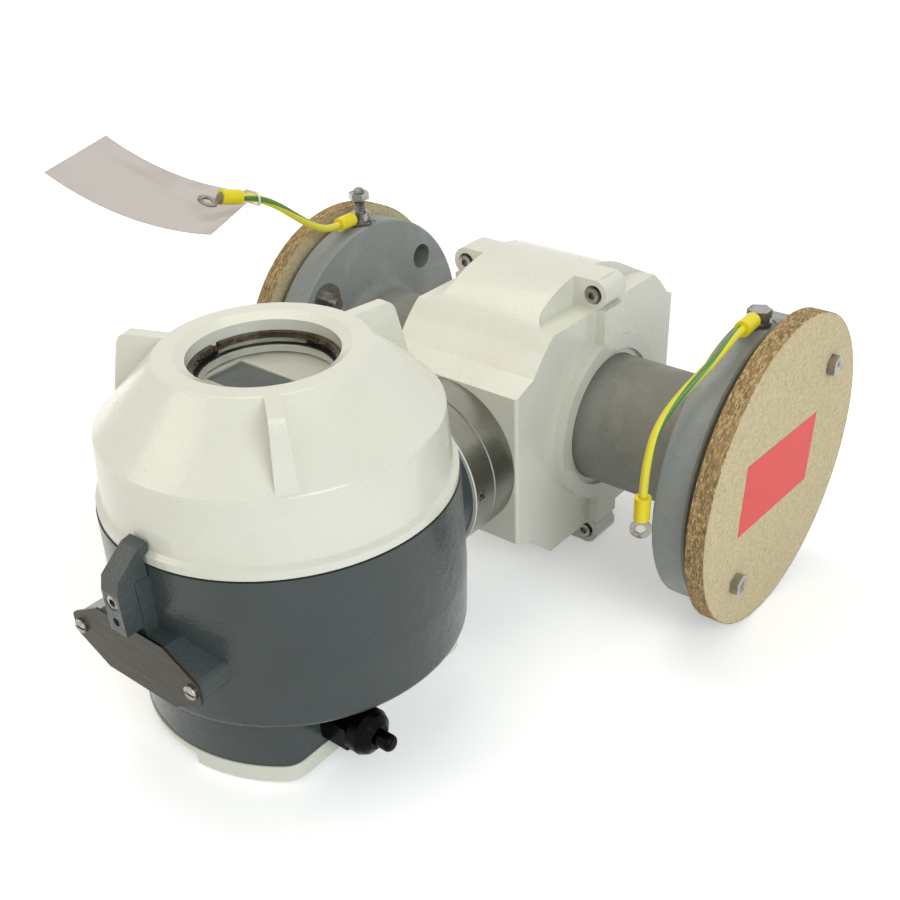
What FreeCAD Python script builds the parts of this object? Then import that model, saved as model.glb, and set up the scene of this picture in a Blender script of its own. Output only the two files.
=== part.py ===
"""Electromagnetic flow meter: a flanged measuring tube with a field transmitter on its neck.

Frame: origin at the centre of the measuring bore, +X along the pipe, the neck along -Y and the
transmitter's display facing +Z. All lengths are in millimetres.
"""
import FreeCAD, Part
import math
import os
import Sketcher

Vector = FreeCAD.Vector

SIZES = {
    # measuring tube, flanges and liner
    "tube_radius": 44.45,
    "tube_wall": 3.6,
    "tube_setback": 3.0,
    "flange_radius": 95.25,
    "flange_face": 173.6,
    "flange_thickness": 23.1,
    "raised_face_height": 1.6,
    "raised_face_radius": 63.5,
    "flange_chamfer": 1.2,
    "bolt_circle_radius": 76.2,
    "flange_hole_radius": 9.525,
    "weld_radius": 8.0,
    "liner_wall": 3.35,
    "liner_flare_radius": 62.0,
    "liner_flare_thickness": 4.2,
    # field coils and electrodes
    "electrode_radius": 3.0,
    "electrode_head_radius": 5.5,
    "electrode_head_height": 1.2,
    "electrode_head_clearance": 0.1,
    "electrode_reach": 58.0,
    "electrode_port_radius": 6.0,
    "coil_gap": 1.0,
    "coil_depth": 9.0,
    "coil_half_length": 36.0,
    "coil_half_width": 40.0,
    "coil_band": 13.0,
    # sensor housing shells
    "housing_radius": 102.0,
    "housing_half_length": 55.0,
    "housing_wall": 6.0,
    "parting_half_length": 62.0,
    "parting_setback": 20.0,
    "parting_depth": 12.0,
    "collar_radius": 59.0,
    "collar_reach": 62.6,
    "collar_recess_radius": 49.0,
    "collar_recess_depth": 2.6,
    "tube_clearance": 0.4,
    "lug_radius": 10.2,
    "lug_across": 52.0,
    "lug_setback": 10.6,
    "scoop_across": 37.0,
    "scoop_corner": 15.0,
    "scoop_back": 61.0,
    "front_setback": 1.8,
    "front_half_height": 54.0,
    "front_ledge_setback": 20.0,
    "front_ledge_half_height": 60.5,
    "rear_setback": 12.0,
    "rear_half_height": 58.0,
    "rear_ledge_setback": 24.0,
    "rear_ledge_half_height": 64.0,
    "cavity_setback": 26.0,
    "cavity_shoulder_depth": 54.0,
    "core_half_length": 28.0,
    "core_depth": 36.0,
    "core_setback": 12.0,
    "edge_round": 2.5,
    "housing_screw_radius": 3.0,
    "housing_screw_head_radius": 5.0,
    "housing_screw_head_height": 6.0,
    "housing_screw_grip": 9.0,
    "screw_clearance": 0.3,
    "counterbore_radius": 6.4,
    "counterbore_depth": 4.0,
    # neck between sensor and transmitter
    "neck_radius": 53.0,
    "neck_bore_radius": 38.0,
    "neck_journal_clearance": 0.1,
    "neck_passage_radius": 30.0,
    "neck_base_length": 20.5,
    "neck_gap": 0.3,
    "neck_collar_length": 19.1,
    "neck_gasket": 1.2,
    "neck_gasket_lip": 0.8,
    "neck_boss_radius": 51.5,
    "grub_radius": 2.5,
    "grub_length": 9.0,
    "grub_offset": 13.2,
    "grub_angle": 2.0,
    # transmitter housing
    "boss_reach": 105.5,
    "body_top_radius": 100.2,
    "body_belly_radius": 101.8,
    "body_foot_radius": 100.6,
    "body_top": 54.5,
    "body_belly": -5.0,
    "body_foot": -43.0,
    "foot_round": 5.0,
    "spigot_radius": 90.0,
    "spigot_top": 78.0,
    "body_bore_radius": 84.0,
    "body_floor": -28.0,
    "compartment_radius": 95.0,
    "compartment_flat": 63.0,
    "compartment_corner": 14.0,
    "compartment_bottom": -75.0,
    "compartment_roof": -34.0,
    "compartment_wall": 6.0,
    # badge box and its blank plate
    "plate_x": -3.5,
    "plate_z": -2.0,
    "plate_half_length": 51.5,
    "plate_half_height": 20.0,
    "plate_end_half_height": 6.4,
    "plate_corner": 4.5,
    "plate_flat_half_length": 27.0,
    "plate_thickness": 1.4,
    "box_root": 84.5,
    "box_face": 110.6,
    "box_inset": 1.5,
    "plate_screw_across": 45.0,
    "plate_screw_radius": 2.0,
    "plate_screw_head_radius": 4.4,
    "plate_screw_head_height": 2.2,
    "plate_screw_length": 9.0,
    # securing claw
    "claw_x": 1.5,
    "claw_width": 13.0,
    "claw_boss_low": 14.0,
    "claw_boss_drop": 5.5,
    "claw_boss_face": 109.0,
    "claw_gap": 0.3,
    "claw_face": 120.0,
    "claw_low": 22.0,
    "claw_shoulder": 47.0,
    "claw_brow": 55.0,
    "claw_tip_thickness": 5.0,
    "claw_tip_clearance": 0.8,
    "claw_screw_height": 41.0,
    "claw_spare_height": 29.0,
    "claw_screw_radius": 2.5,
    "claw_screw_head_radius": 4.25,
    "claw_screw_head_height": 5.0,
    # screw cover and its window
    "cover_gap": 0.8,
    "cover_rim_setback": 0.8,
    "cover_rim_height": 4.6,
    "cover_rim_step": 3.0,
    "cover_rim_slope": 2.0,
    "cover_skirt_radius": 93.75,
    "cover_skirt_top": 97.0,
    "cover_top": 133.0,
    "cover_flat_radius": 57.2,
    "window_bevel_radius": 46.5,
    "window_bevel_depth": 3.0,
    "window_bore_radius": 40.7,
    "window_ledge_radius": 36.5,
    "window_ledge_height": 113.0,
    "cover_roof": 109.0,
    "cover_roof_radius": 69.5,
    "cover_wall_radius": 84.5,
    "cover_wall_top": 94.0,
    "thread_clearance": 0.6,
    "thread_relief": 79.5,
    "fin_angle": -39.0,
    "fin_top_thickness": 8.0,
    "fin_foot_thickness": 12.0,
    "fin_top_reach": 84.5,
    "fin_foot_inset": 0.8,
    "fin_root_depth": 8.5,
    "fin_nose": 5.0,
    "glass_clearance": 0.3,
    "glass_thickness": 7.5,
    "ring_bore_radius": 37.4,
    "ring_thickness": 3.3,
    # electronics, display and terminals
    "insert_radius": 79.0,
    "insert_shoulder": 90.0,
    "insert_top_radius": 64.0,
    "insert_top": 101.5,
    "panel_radius": 62.0,
    "panel_thickness": 6.0,
    "lcd_x": 2.0,
    "lcd_y": -3.0,
    "lcd_length": 68.0,
    "lcd_width": 26.0,
    "lcd_thickness": 1.2,
    "terminal_length": 84.0,
    "terminal_width": 26.0,
    "terminal_height": 22.0,
    # back cover
    "back_overhang": 0.8,
    "back_thickness": 3.5,
    "pad_height": 7.5,
    "pad_start_x": 8.0,
    "pad_start_y": 29.0,
    "back_screw_across": 40.0,
    "back_screw_along": 62.0,
    "back_screw_radius": 2.5,
    "back_screw_head_radius": 4.5,
    "back_screw_head_height": 3.0,
    # cable gland and blanking plug
    "entry_along": 38.0,
    "entry_height": -60.0,
    "entry_radius": 10.0,
    "gland_flats": 26.0,
    "gland_hex_length": 20.0,
    "gland_cap_radius": 13.6,
    "gland_cap_length": 6.5,
    "gland_dome_length": 7.0,
    "gland_mouth_radius": 7.0,
    "gland_stub_radius": 5.0,
    "gland_stub_length": 10.0,
    "entry_seal": 1.2,
    "plug_flats": 24.0,
    "plug_head": 5.0,
    # transport discs and their bolts
    "disc_radius": 102.8,
    "disc_thickness": 12.0,
    "disc_bolt_radius": 4.0,
    "disc_hole_clearance": 0.6,
    "bolt_flats": 13.0,
    "bolt_head_height": 5.3,
    "nut_height": 6.5,
    "bolt_end": 4.0,
    "wide_washer_radius": 13.0,
    "wide_washer_thickness": 1.8,
    "patch_length": 97.0,
    "patch_height": 49.0,
    "patch_thickness": 0.2,
    "patch_y": -8.0,
    "patch_z": 3.6,
    "patch_angle": -3.6,
    # earthing terminals, lugs and leads
    "earth_seat_depth": 1.25,
    "earth_seat_radius": 10.8,
    "earth_depth": 20.0,
    "lug_plate": 1.2,
    "lug_eye_radius": 6.6,
    "lug_neck_width": 6.4,
    "lug_neck_gap": 0.2,
    "free_eye_radius": 3.2,
    "lug_barrel_radius": 3.3,
    "lug_barrel_length": 5.0,
    "terminal_lift": 6.4,
    "free_lift": 3.6,
    "lead_start": 8.0,
    "earth_washer_radius": 8.0,
    "earth_washer_thickness": 1.6,
    "spring_washer_thickness": 2.0,
    "spring_washer_radius": 6.6,
    "stud_top": 121.5,
    "upper_nut_height": 113.0,
    "upper_nut_thickness": 5.0,
    "sleeve_gap": 0.05,
    "sleeve_radius": 5.0,
    "sleeve_length": 15.1,
    "cable_radius": 2.7,
    "tag_width": 85.0,
    "tag_length": 117.0,
    "tag_thickness": 0.6,
    "tag_curve_radius": 183.0,
    "tag_pitch": 4.6,
    "tag_heading": 205.8,
    "tag_hole_radius": 3.4,
    "tag_hole_inset": 7.0,
    "tie_radius": 0.8,
    "tie_slack": 0.6,
}

# Cable routes beyond each earth terminal's sleeve, towards the free end.
NEAR_ROUTE = [
    (162.6, -43.1, 97.7),
    (160.5, -54.1, 91.0),
    (155.8, -66.5, 82.6),
    (151.5, -77.0, 74.0),
    (148.3, -86.0, 64.9),
    (147.0, -93.5, 54.5),
    (147.0, -98.3, 42.0),
    (147.0, -100.8, 29.8),
    (147.0, -100.9, 18.5),
]
FAR_ROUTE = [
    (-160.6, -42.1, 103.1),
    (-161.8, -52.6, 109.2),
    (-164.3, -62.9, 117.6),
    (-166.8, -73.3, 126.5),
    (-168.9, -84.6, 134.0),
    (-170.7, -96.3, 139.3),
    (-171.8, -103.6, 141.1),
]
TIE_RUN = 6
TAG_CORNER = (-187.5, -73.2, 133.0)

DOC = FreeCAD.newDocument("flow_meter")
PARTS = []


class Size:
    """A spreadsheet expression together with its present value."""

    def __init__(self, text, value):
        self.text = text
        self.value = value

    def join(self, sign, other, value):
        return Size(f"({self.text} {sign} {as_size(other).text})", value)

    def __add__(self, other):
        return self.join("+", other, self.value + as_size(other).value)

    def __sub__(self, other):
        return self.join("-", other, self.value - as_size(other).value)

    def __mul__(self, other):
        return self.join("*", other, self.value * as_size(other).value)

    def __truediv__(self, other):
        return self.join("/", other, self.value / as_size(other).value)

    def __neg__(self):
        return Size(f"(-1 * {self.text})", -self.value)


def as_size(number):
    """Wrap a bare number so that it can stand in an expression."""
    if isinstance(number, Size):
        return number
    return Size(repr(float(number)), float(number))


class Sheet:
    """The driving dimensions and the sizes that follow from them, each read as an attribute."""

    def __init__(self, sizes):
        self.cells = DOC.addObject("Spreadsheet::Sheet", "sizes")
        for row, (name, number) in enumerate(sizes.items(), start=1):
            self.cells.set(f"A{row}", name)
            self.cells.set(f"B{row}", str(number))
            self.cells.setAlias(f"B{row}", name)
        DOC.recompute()

    def __getattr__(self, name):
        return Size(f"sizes.{name}", float(self.cells.get(name)))

    @property
    def front_face(self):
        return self.housing_radius - self.front_setback

    @property
    def front_ledge_depth(self):
        return self.housing_radius - self.front_ledge_setback

    @property
    def rear_face(self):
        return self.housing_radius - self.rear_setback

    @property
    def rear_ledge_depth(self):
        return self.housing_radius - self.rear_ledge_setback

    @property
    def parting_half_height(self):
        return self.housing_radius - self.parting_setback

    @property
    def lug_up(self):
        return self.housing_radius - self.lug_setback

    @property
    def cavity_half_height(self):
        return self.housing_radius - self.cavity_setback

    @property
    def core_height(self):
        return self.housing_radius - self.core_setback

    @property
    def neck_split(self):
        return self.front_face + self.neck_base_length

    @property
    def neck_end(self):
        return self.neck_split + self.neck_gap + self.neck_collar_length + self.neck_gasket

    @property
    def grub_station(self):
        return self.neck_split + self.neck_gap + self.grub_offset

    @property
    def axis_offset(self):
        return self.neck_end + self.boss_reach

    @property
    def claw_boss_top(self):
        return self.body_top - self.claw_boss_drop

    @property
    def cover_rim_radius(self):
        return self.body_top_radius - self.cover_rim_setback

    @property
    def cover_skirt_foot_radius(self):
        return self.cover_rim_radius - self.cover_rim_step

    @property
    def earth_seat(self):
        return self.flange_radius - self.earth_seat_depth

    @property
    def lug_ramp_start(self):
        return self.earth_washer_radius + self.lug_neck_gap

    @property
    def lug_barrel_start(self):
        return self.lug_ramp_start + self.lug_plate

    @property
    def sleeve_start(self):
        return self.lug_barrel_start + self.sleeve_gap


S = Sheet(SIZES)


# ---------------------------------------------------------------- sketch and feature helpers

def new_body(name, x=0, y=0, z=0, turn=None):
    """Start a body whose place, and turn about +Z, follow the sheet."""
    body = DOC.addObject("PartDesign::Body", name)
    body.Label = name
    body.AllowCompound = True
    base = Vector(as_size(x).value, as_size(y).value, as_size(z).value)
    angle = as_size(turn).value if turn is not None else 0
    body.Placement = FreeCAD.Placement(base, FreeCAD.Rotation(Vector(0, 0, 1), angle))
    for axis, length in (("x", x), ("y", y), ("z", z)):
        if isinstance(length, Size):
            body.setExpression(f"Placement.Base.{axis}", length.text)
    if turn is not None:
        body.setExpression("Placement.Rotation.Angle", as_size(turn).text)
    PARTS.append(body)
    return body


def origin_feature(body, role):
    """Find one of a body's own origin planes or axes."""
    return next(item for item in body.Origin.OriginFeatures if item.Role == role)


def sketch_on(body, plane, offset=0):
    """Attach a sketch to an origin plane, moved along the plane's normal."""
    sketch = body.newObject("Sketcher::SketchObject", f"{body.Label}_sketch")
    sketch.AttachmentSupport = (origin_feature(body, plane), [""])
    sketch.MapMode = "FlatFace"
    offset = as_size(offset)
    sketch.AttachmentOffset = FreeCAD.Placement(Vector(0, 0, offset.value), FreeCAD.Rotation())
    sketch.setExpression("AttachmentOffset.Base.z", offset.text)
    return sketch


def pin_point(sketch, geometry, vertex, point):
    """Tie a sketch point to its two distances from the origin."""
    for kind, length, axis in (("DistanceX", point[0], -2), ("DistanceY", point[1], -1)):
        length = as_size(length)
        if abs(length.value) < 1e-9:
            sketch.addConstraint(Sketcher.Constraint("PointOnObject", geometry, vertex, axis))
        else:
            datum = Sketcher.Constraint(kind, -1, 1, geometry, vertex, length.value)
            index = sketch.addConstraint(datum)
            sketch.setExpression(f"Constraints[{index}]", length.text)


def draw_polygon(sketch, corners):
    """Draw a closed outline through corners given as pairs of sizes."""
    spots = [Vector(as_size(x).value, as_size(y).value, 0) for x, y in corners]
    first = sketch.GeometryCount
    count = len(spots)
    for index in range(count):
        sketch.addGeometry(Part.LineSegment(spots[index], spots[(index + 1) % count]))
    for index in range(count):
        following = first + (index + 1) % count
        sketch.addConstraint(Sketcher.Constraint("Coincident", first + index, 2, following, 1))
    for index, corner in enumerate(corners):
        pin_point(sketch, first + index, 1, corner)


def draw_rectangle(sketch, low, high):
    """Draw an upright rectangle from its low and high corners."""
    draw_polygon(sketch, [low, (high[0], low[1]), high, (low[0], high[1])])


def draw_circle(sketch, centre, radius):
    """Draw a circle of the given radius."""
    radius = as_size(radius)
    spot = Vector(as_size(centre[0]).value, as_size(centre[1]).value, 0)
    index = sketch.addGeometry(Part.Circle(spot, Vector(0, 0, 1), radius.value))
    datum = sketch.addConstraint(Sketcher.Constraint("Radius", index, radius.value))
    sketch.setExpression(f"Constraints[{datum}]", radius.text)
    pin_point(sketch, index, 3, centre)


def draw_hexagon(sketch, centre, flats):
    """Draw a hexagon across the given flats, two of them upright."""
    corner = as_size(flats) / math.sqrt(3)
    points = []
    for step in range(6):
        angle = math.radians(30 + 60 * step)
        x = as_size(centre[0]) + corner * math.cos(angle)
        y = as_size(centre[1]) + corner * math.sin(angle)
        points.append((x, y))
    draw_polygon(sketch, points)


def run_feature(body, kind, sketch, length, midplane=False, reverse=False):
    """Pad or pocket a sketch by a length, and make sure that it adds or removes material."""
    before = body.Shape.Volume if body.Tip is not sketch and body.Tip is not None else 0
    feature = body.newObject(f"PartDesign::{kind}", f"{body.Label}_{kind.lower()}")
    feature.Profile = sketch
    feature.Length = abs(as_size(length).value)
    feature.setExpression("Length", f"abs({as_size(length).text})")
    feature.Midplane = midplane
    feature.Reversed = reverse
    sketch.Visibility = False
    DOC.recompute()
    gain = feature.Shape.Volume - before
    if feature.Shape.isNull() or (gain <= 0 if kind == "Pad" else gain >= 0):
        raise RuntimeError(f"{feature.Name} changed the volume by {gain:.2f} mm3")
    return feature


def add_between(body, plane, start, end, draw):
    """Add material between two distances along a plane's normal; draw fills the sketch."""
    sketch = sketch_on(body, plane, start)
    draw(sketch)
    backwards = as_size(end).value < as_size(start).value
    return run_feature(body, "Pad", sketch, as_size(end) - start, reverse=backwards)


def cut_between(body, plane, start, end, draw):
    """Remove material between two distances along a plane's normal."""
    sketch = sketch_on(body, plane, start)
    draw(sketch)
    forwards = as_size(end).value > as_size(start).value
    return run_feature(body, "Pocket", sketch, as_size(end) - start, reverse=forwards)


def circles(centres, radius):
    """Return a drawing step for equal circles."""
    return lambda sketch: [draw_circle(sketch, centre, radius) for centre in centres]


def hexagons(centres, flats):
    """Return a drawing step for equal hexagons."""
    return lambda sketch: [draw_hexagon(sketch, centre, flats) for centre in centres]


def rings(centres, outer, inner):
    """Return a drawing step for flat rings."""
    def draw(sketch):
        for centre in centres:
            draw_circle(sketch, centre, outer)
            draw_circle(sketch, centre, inner)
    return draw


def polygon(corners):
    """Return a drawing step for one closed outline."""
    return lambda sketch: draw_polygon(sketch, corners)


def rectangles(pairs):
    """Return a drawing step for upright rectangles."""
    return lambda sketch: [draw_rectangle(sketch, low, high) for low, high in pairs]


def spin(body, axis, corners, kind="Revolution"):
    """Turn an outline a full circle about X, Y or Z of the body; the outline is (radius, station)."""
    plane = "XZ_Plane" if axis == "Z" else "XY_Plane"
    sketch = sketch_on(body, plane)
    if axis == "X":
        draw_polygon(sketch, [(station, radius) for radius, station in corners])
    else:
        draw_polygon(sketch, corners)
    feature = body.newObject(f"PartDesign::{kind}", f"{body.Label}_{kind.lower()}")
    feature.Profile = sketch
    feature.ReferenceAxis = (sketch, ["H_Axis" if axis == "X" else "V_Axis"])
    feature.Angle = 360
    sketch.Visibility = False
    DOC.recompute()
    return feature


def round_edges(body, radius, chosen):
    """Fillet the edges of a body that the test picks."""
    base = body.Tip
    names = [f"Edge{index}" for index, edge in enumerate(base.Shape.Edges, 1) if chosen(edge)]
    feature = body.newObject("PartDesign::Fillet", f"{body.Label}_fillet")
    feature.Base = (base, names)
    feature.Radius = as_size(radius).value
    feature.setExpression("Radius", as_size(radius).text)
    DOC.recompute()
    return feature


def near(value, size, slack=0.02):
    """Is a coordinate at a size, within a small slack?"""
    return abs(value - as_size(size).value) < slack


def keep_shape(name, shape, place=None):
    """Keep a shape made from the sheet's values as a sub-part."""
    feature = DOC.addObject("Part::Feature", name)
    feature.Label = name
    feature.Shape = shape
    if place is not None:
        feature.Placement = place
    PARTS.append(feature)
    return feature


# ---------------------------------------------------------------- measuring tube and flanges

def measuring_tube():
    body = new_body("measuring_tube")
    end = S.flange_face - S.tube_setback
    inner = S.tube_radius - S.tube_wall
    spin(body, "X", [(inner, -end), (S.tube_radius, -end), (S.tube_radius, end), (inner, end)])
    port = circles([(0, 0)], S.electrode_port_radius)
    cut_between(body, "XY_Plane", -S.electrode_reach, S.electrode_reach, port)


def flange(name, side):
    """One slip-on flange with its four bolt holes and the spot face of the earth terminal."""
    body = new_body(name)
    back = (S.flange_face - S.flange_thickness) * side
    face = S.flange_face * side
    step = (S.flange_face - S.raised_face_height) * side
    rim_low = back + S.flange_chamfer * side
    rim_high = step - S.flange_chamfer * side
    weld = []
    for step_angle in (0, 22.5, 45, 67.5, 90):
        angle = math.radians(step_angle)
        weld.append((S.tube_radius + S.weld_radius * (1 - math.cos(angle)),
                     back - S.weld_radius * (1 - math.sin(angle)) * side))
    spin(body, "X", weld + [
        (S.flange_radius - S.flange_chamfer, back),
        (S.flange_radius, rim_low),
        (S.flange_radius, rim_high),
        (S.flange_radius - S.flange_chamfer, step),
        (S.raised_face_radius, step),
        (S.raised_face_radius, face),
        (S.tube_radius, face),
    ])
    reach = S.bolt_circle_radius * math.sqrt(0.5)
    centres = [(reach * across, reach * up) for across in (1, -1) for up in (1, -1)]
    cut_between(body, "YZ_Plane", face, back, circles(centres, S.flange_hole_radius))
    middle = earth_station(side)
    seat = circles([(middle, 0)], S.earth_seat_radius)
    cut_between(body, "XY_Plane", S.flange_radius + S.flange_chamfer, S.earth_seat, seat)
    hole = circles([(middle, 0)], S.disc_bolt_radius)
    cut_between(body, "XY_Plane", S.earth_seat, S.earth_seat - S.earth_depth, hole)


def earth_station(side):
    """Distance along the pipe of a flange's earth terminal, at the middle of its rim."""
    return (S.flange_face - (S.flange_thickness + S.raised_face_height) / 2) * side


def liner():
    body = new_body("liner")
    outer = S.tube_radius - S.tube_wall
    bore = outer - S.liner_wall
    end = S.flange_face + S.liner_flare_thickness
    tube_end = S.flange_face - S.tube_setback
    corners = [(bore, -end), (S.liner_flare_radius, -end), (S.liner_flare_radius, -S.flange_face),
               (S.tube_radius, -S.flange_face), (S.tube_radius, -tube_end), (outer, -tube_end),
               (outer, tube_end), (S.tube_radius, tube_end), (S.tube_radius, S.flange_face),
               (S.liner_flare_radius, S.flange_face), (S.liner_flare_radius, end), (bore, end)]
    spin(body, "X", corners)
    port = circles([(0, 0)], S.electrode_radius)
    cut_between(body, "XY_Plane", -S.electrode_reach, S.electrode_reach, port)
    seat = circles([(0, 0)], S.electrode_head_radius + S.electrode_head_clearance)
    cut_between(body, "XY_Plane", -bore, bore, seat)


def electrodes():
    """Two electrodes that look into the bore from above and below, each with its nut."""
    body = new_body("electrodes")
    bore = S.tube_radius - S.tube_wall - S.liner_wall
    nut = S.electrode_reach - S.nut_height
    for side in (1, -1):
        head = circles([(0, 0)], S.electrode_head_radius)
        add_between(body, "XY_Plane", (bore - S.electrode_head_height) * side, bore * side, head)
        stem = circles([(0, 0)], S.electrode_radius)
        add_between(body, "XY_Plane", bore * side, S.electrode_reach * side, stem)
        hexagon = hexagons([(0, 0)], S.bolt_flats)
        add_between(body, "XY_Plane", (nut - 2) * side, (S.electrode_reach - 2) * side, hexagon)


def field_coil(name, side):
    """A saddle coil wrapped over the tube on the neck side or the rear side."""
    inner = (S.tube_radius + S.coil_gap).value
    outer = (S.tube_radius + S.coil_gap + S.coil_depth).value
    length, width, band = S.coil_half_length.value, S.coil_half_width.value, S.coil_band.value
    shell = Part.makeCylinder(outer, 2 * length, Vector(-length, 0, 0), Vector(1, 0, 0))
    core = Part.makeCylinder(inner, 2 * length, Vector(-length, 0, 0), Vector(1, 0, 0))
    frame = Part.makeBox(2 * length, outer, 2 * width, Vector(-length, 0, -width))
    gap = Part.makeBox(2 * (length - band), outer, 2 * (width - band),
                       Vector(band - length, 0, band - width))
    saddle = shell.cut(core).common(frame.cut(gap))
    if side < 0:
        saddle = saddle.mirror(Vector(0, 0, 0), Vector(0, 1, 0))
    keep_shape(name, saddle)


# ---------------------------------------------------------------- sensor housing

def housing_shell(name, side, face, half_height, ledge_depth, ledge_half_height):
    """One cast half of the sensor housing; side is -1 towards the neck and +1 behind."""
    body = new_body(name)
    length = S.housing_half_length
    run_on(body, "YZ_Plane", circles([(0, 0)], S.housing_radius), length * 2)
    run_on(body, "YZ_Plane", circles([(0, 0)], S.collar_radius), S.collar_reach * 2)
    block = [(0, -ledge_half_height), (ledge_depth * side, -ledge_half_height),
             (face * side, -half_height), (face * side, half_height),
             (ledge_depth * side, ledge_half_height), (0, ledge_half_height)]
    run_on(body, "YZ_Plane", polygon(block), length * 2)
    beyond = S.housing_radius + 5
    away = [((0, -beyond), (beyond * -side, beyond)),
            ((face * side, -beyond), ((beyond + 5) * side, beyond))]
    run_off(body, "YZ_Plane", rectangles(away), S.collar_reach * 2 + 2)
    # the flange round the parting plane, with a screw lug at each corner
    depth = S.parting_depth * -side
    lugs = [(S.lug_across * across, S.lug_up * up) for across in (1, -1) for up in (1, -1)]
    add_between(body, "XZ_Plane", 0, depth, circles(lugs, S.lug_radius))
    rib = rectangles([((-S.parting_half_length, -S.parting_half_height),
                       (S.parting_half_length, S.parting_half_height))])
    add_between(body, "XZ_Plane", 0, depth, rib)
    # scoops that leave the screw lugs open to a key
    wide = S.parting_half_length + S.lug_radius
    bend = S.scoop_back - S.scoop_corner
    turn = S.scoop_across + S.scoop_corner
    for up in (1, -1):
        for across in (1, -1):
            shapes = [
                rectangles([((S.scoop_across * across, S.parting_depth * side),
                             (wide * across, bend * side))]),
                circles([(turn * across, bend * side)], S.scoop_corner),
                rectangles([((turn * across, (bend - 2) * side),
                             (wide * across, S.scoop_back * side))]),
            ]
            for shape in shapes:
                cut_between(body, "XY_Plane", S.parting_half_height * up,
                            (S.housing_radius + 5) * up, shape)
    # hollow inside, cored higher between the lugs
    inner = length - S.housing_wall
    shoulder = S.cavity_half_height - S.housing_wall * 3
    hollow = [(0, -S.cavity_half_height), (S.cavity_shoulder_depth * side, -S.cavity_half_height),
              ((ledge_depth - S.housing_wall) * side, -shoulder),
              ((face - S.housing_wall) * side, -half_height + S.housing_wall * 2),
              ((face - S.housing_wall) * side, half_height - S.housing_wall * 2),
              ((ledge_depth - S.housing_wall) * side, shoulder),
              (S.cavity_shoulder_depth * side, S.cavity_half_height), (0, S.cavity_half_height)]
    run_off(body, "YZ_Plane", polygon(hollow), inner * 2)
    core = rectangles([((-S.core_half_length, 0), (S.core_half_length, S.core_depth * side))])
    for up in (1, -1):
        cut_between(body, "XY_Plane", (S.cavity_half_height - 1) * up, S.core_height * up, core)
    # passage of the tube, recessed outside
    passage = circles([(0, 0)], S.tube_radius + S.tube_clearance)
    run_off(body, "YZ_Plane", passage, S.collar_reach * 2 + 2)
    recess = circles([(0, 0)], S.collar_recess_radius)
    for end in (1, -1):
        cut_between(body, "YZ_Plane", S.collar_reach * end,
                    (S.collar_reach - S.collar_recess_depth) * end, recess)
    return body, lugs


def run_on(body, plane, draw, length):
    """Pad a drawing evenly both ways from a plane."""
    sketch = sketch_on(body, plane)
    draw(sketch)
    run_feature(body, "Pad", sketch, length, midplane=True)


def run_off(body, plane, draw, length):
    """Pocket a drawing evenly both ways from a plane."""
    sketch = sketch_on(body, plane)
    draw(sketch)
    run_feature(body, "Pocket", sketch, length, midplane=True)


def upright_corner(face):
    """Pick the upright edges where a shell's flat face meets its side faces."""
    def test(edge):
        centre = edge.CenterOfMass
        ends = edge.Vertexes
        upright = len(ends) == 2 and abs(ends[0].Z - ends[1].Z) > S.housing_wall.value * 3
        return upright and near(centre.y, face) and near(abs(centre.x), S.housing_half_length)
    return test


def front_shell():
    body, lugs = housing_shell("front_housing_shell", -1, S.front_face, S.front_half_height,
                               S.front_ledge_depth, S.front_ledge_half_height)
    hole = circles(lugs, S.housing_screw_radius + S.screw_clearance)
    cut_between(body, "XZ_Plane", 0, S.parting_depth, hole)
    seat = circles(lugs, S.counterbore_radius)
    cut_between(body, "XZ_Plane", S.parting_depth, S.parting_depth - S.counterbore_depth, seat)
    cable = circles([(0, 0)], S.neck_passage_radius)
    cut_between(body, "XZ_Plane", S.front_face, S.front_face - S.housing_wall * 2, cable)
    round_edges(body, S.edge_round, upright_corner(-S.front_face))


def rear_shell():
    body, lugs = housing_shell("rear_housing_shell", 1, S.rear_face, S.rear_half_height,
                               S.rear_ledge_depth, S.rear_ledge_half_height)
    tapped = circles(lugs, S.housing_screw_radius)
    cut_between(body, "XZ_Plane", 0, -S.housing_screw_grip, tapped)
    round_edges(body, S.edge_round, upright_corner(S.rear_face))


def housing_screws():
    """Four socket screws that draw the shells together."""
    body = new_body("housing_screws")
    lugs = [(S.lug_across * across, S.lug_up * up) for across in (1, -1) for up in (1, -1)]
    seat = S.parting_depth - S.counterbore_depth
    top = seat + S.housing_screw_head_height
    add_between(body, "XZ_Plane", -S.housing_screw_grip, seat, circles(lugs, S.housing_screw_radius))
    add_between(body, "XZ_Plane", seat, top, circles(lugs, S.housing_screw_head_radius))
    key = hexagons(lugs, S.housing_screw_head_radius)
    cut_between(body, "XZ_Plane", top, top - S.housing_screw_head_height / 2, key)


# ---------------------------------------------------------------- neck

def neck_base_ring():
    body = new_body("neck_base_ring")
    edge = S.edge_round / 4
    spin(body, "Y", [(S.neck_bore_radius, -S.front_face), (S.neck_radius, -S.front_face),
                     (S.neck_radius, -S.neck_split + edge), (S.neck_radius - edge, -S.neck_split),
                     (S.neck_bore_radius, -S.neck_split)])


def neck_collar():
    """The turning half of the neck, with a journal that runs inside the base ring."""
    body = new_body("neck_collar")
    edge = S.edge_round / 4
    start = -S.neck_split - S.neck_gap
    end = -S.neck_end + S.neck_gasket
    journal = S.neck_bore_radius - S.neck_journal_clearance
    spin(body, "Y", [(S.neck_passage_radius, -S.front_face - 4), (journal, -S.front_face - 4),
                     (journal, start), (S.neck_radius - edge, start),
                     (S.neck_radius, start - edge), (S.neck_radius, end),
                     (S.neck_passage_radius, end)])
    sketch = sketch_on(body, "XZ_Plane", S.grub_station - S.grub_radius)
    draw_polygon(sketch, grub_slot(0.4))
    run_feature(body, "Pocket", sketch, S.grub_radius * 2, reverse=True)


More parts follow.
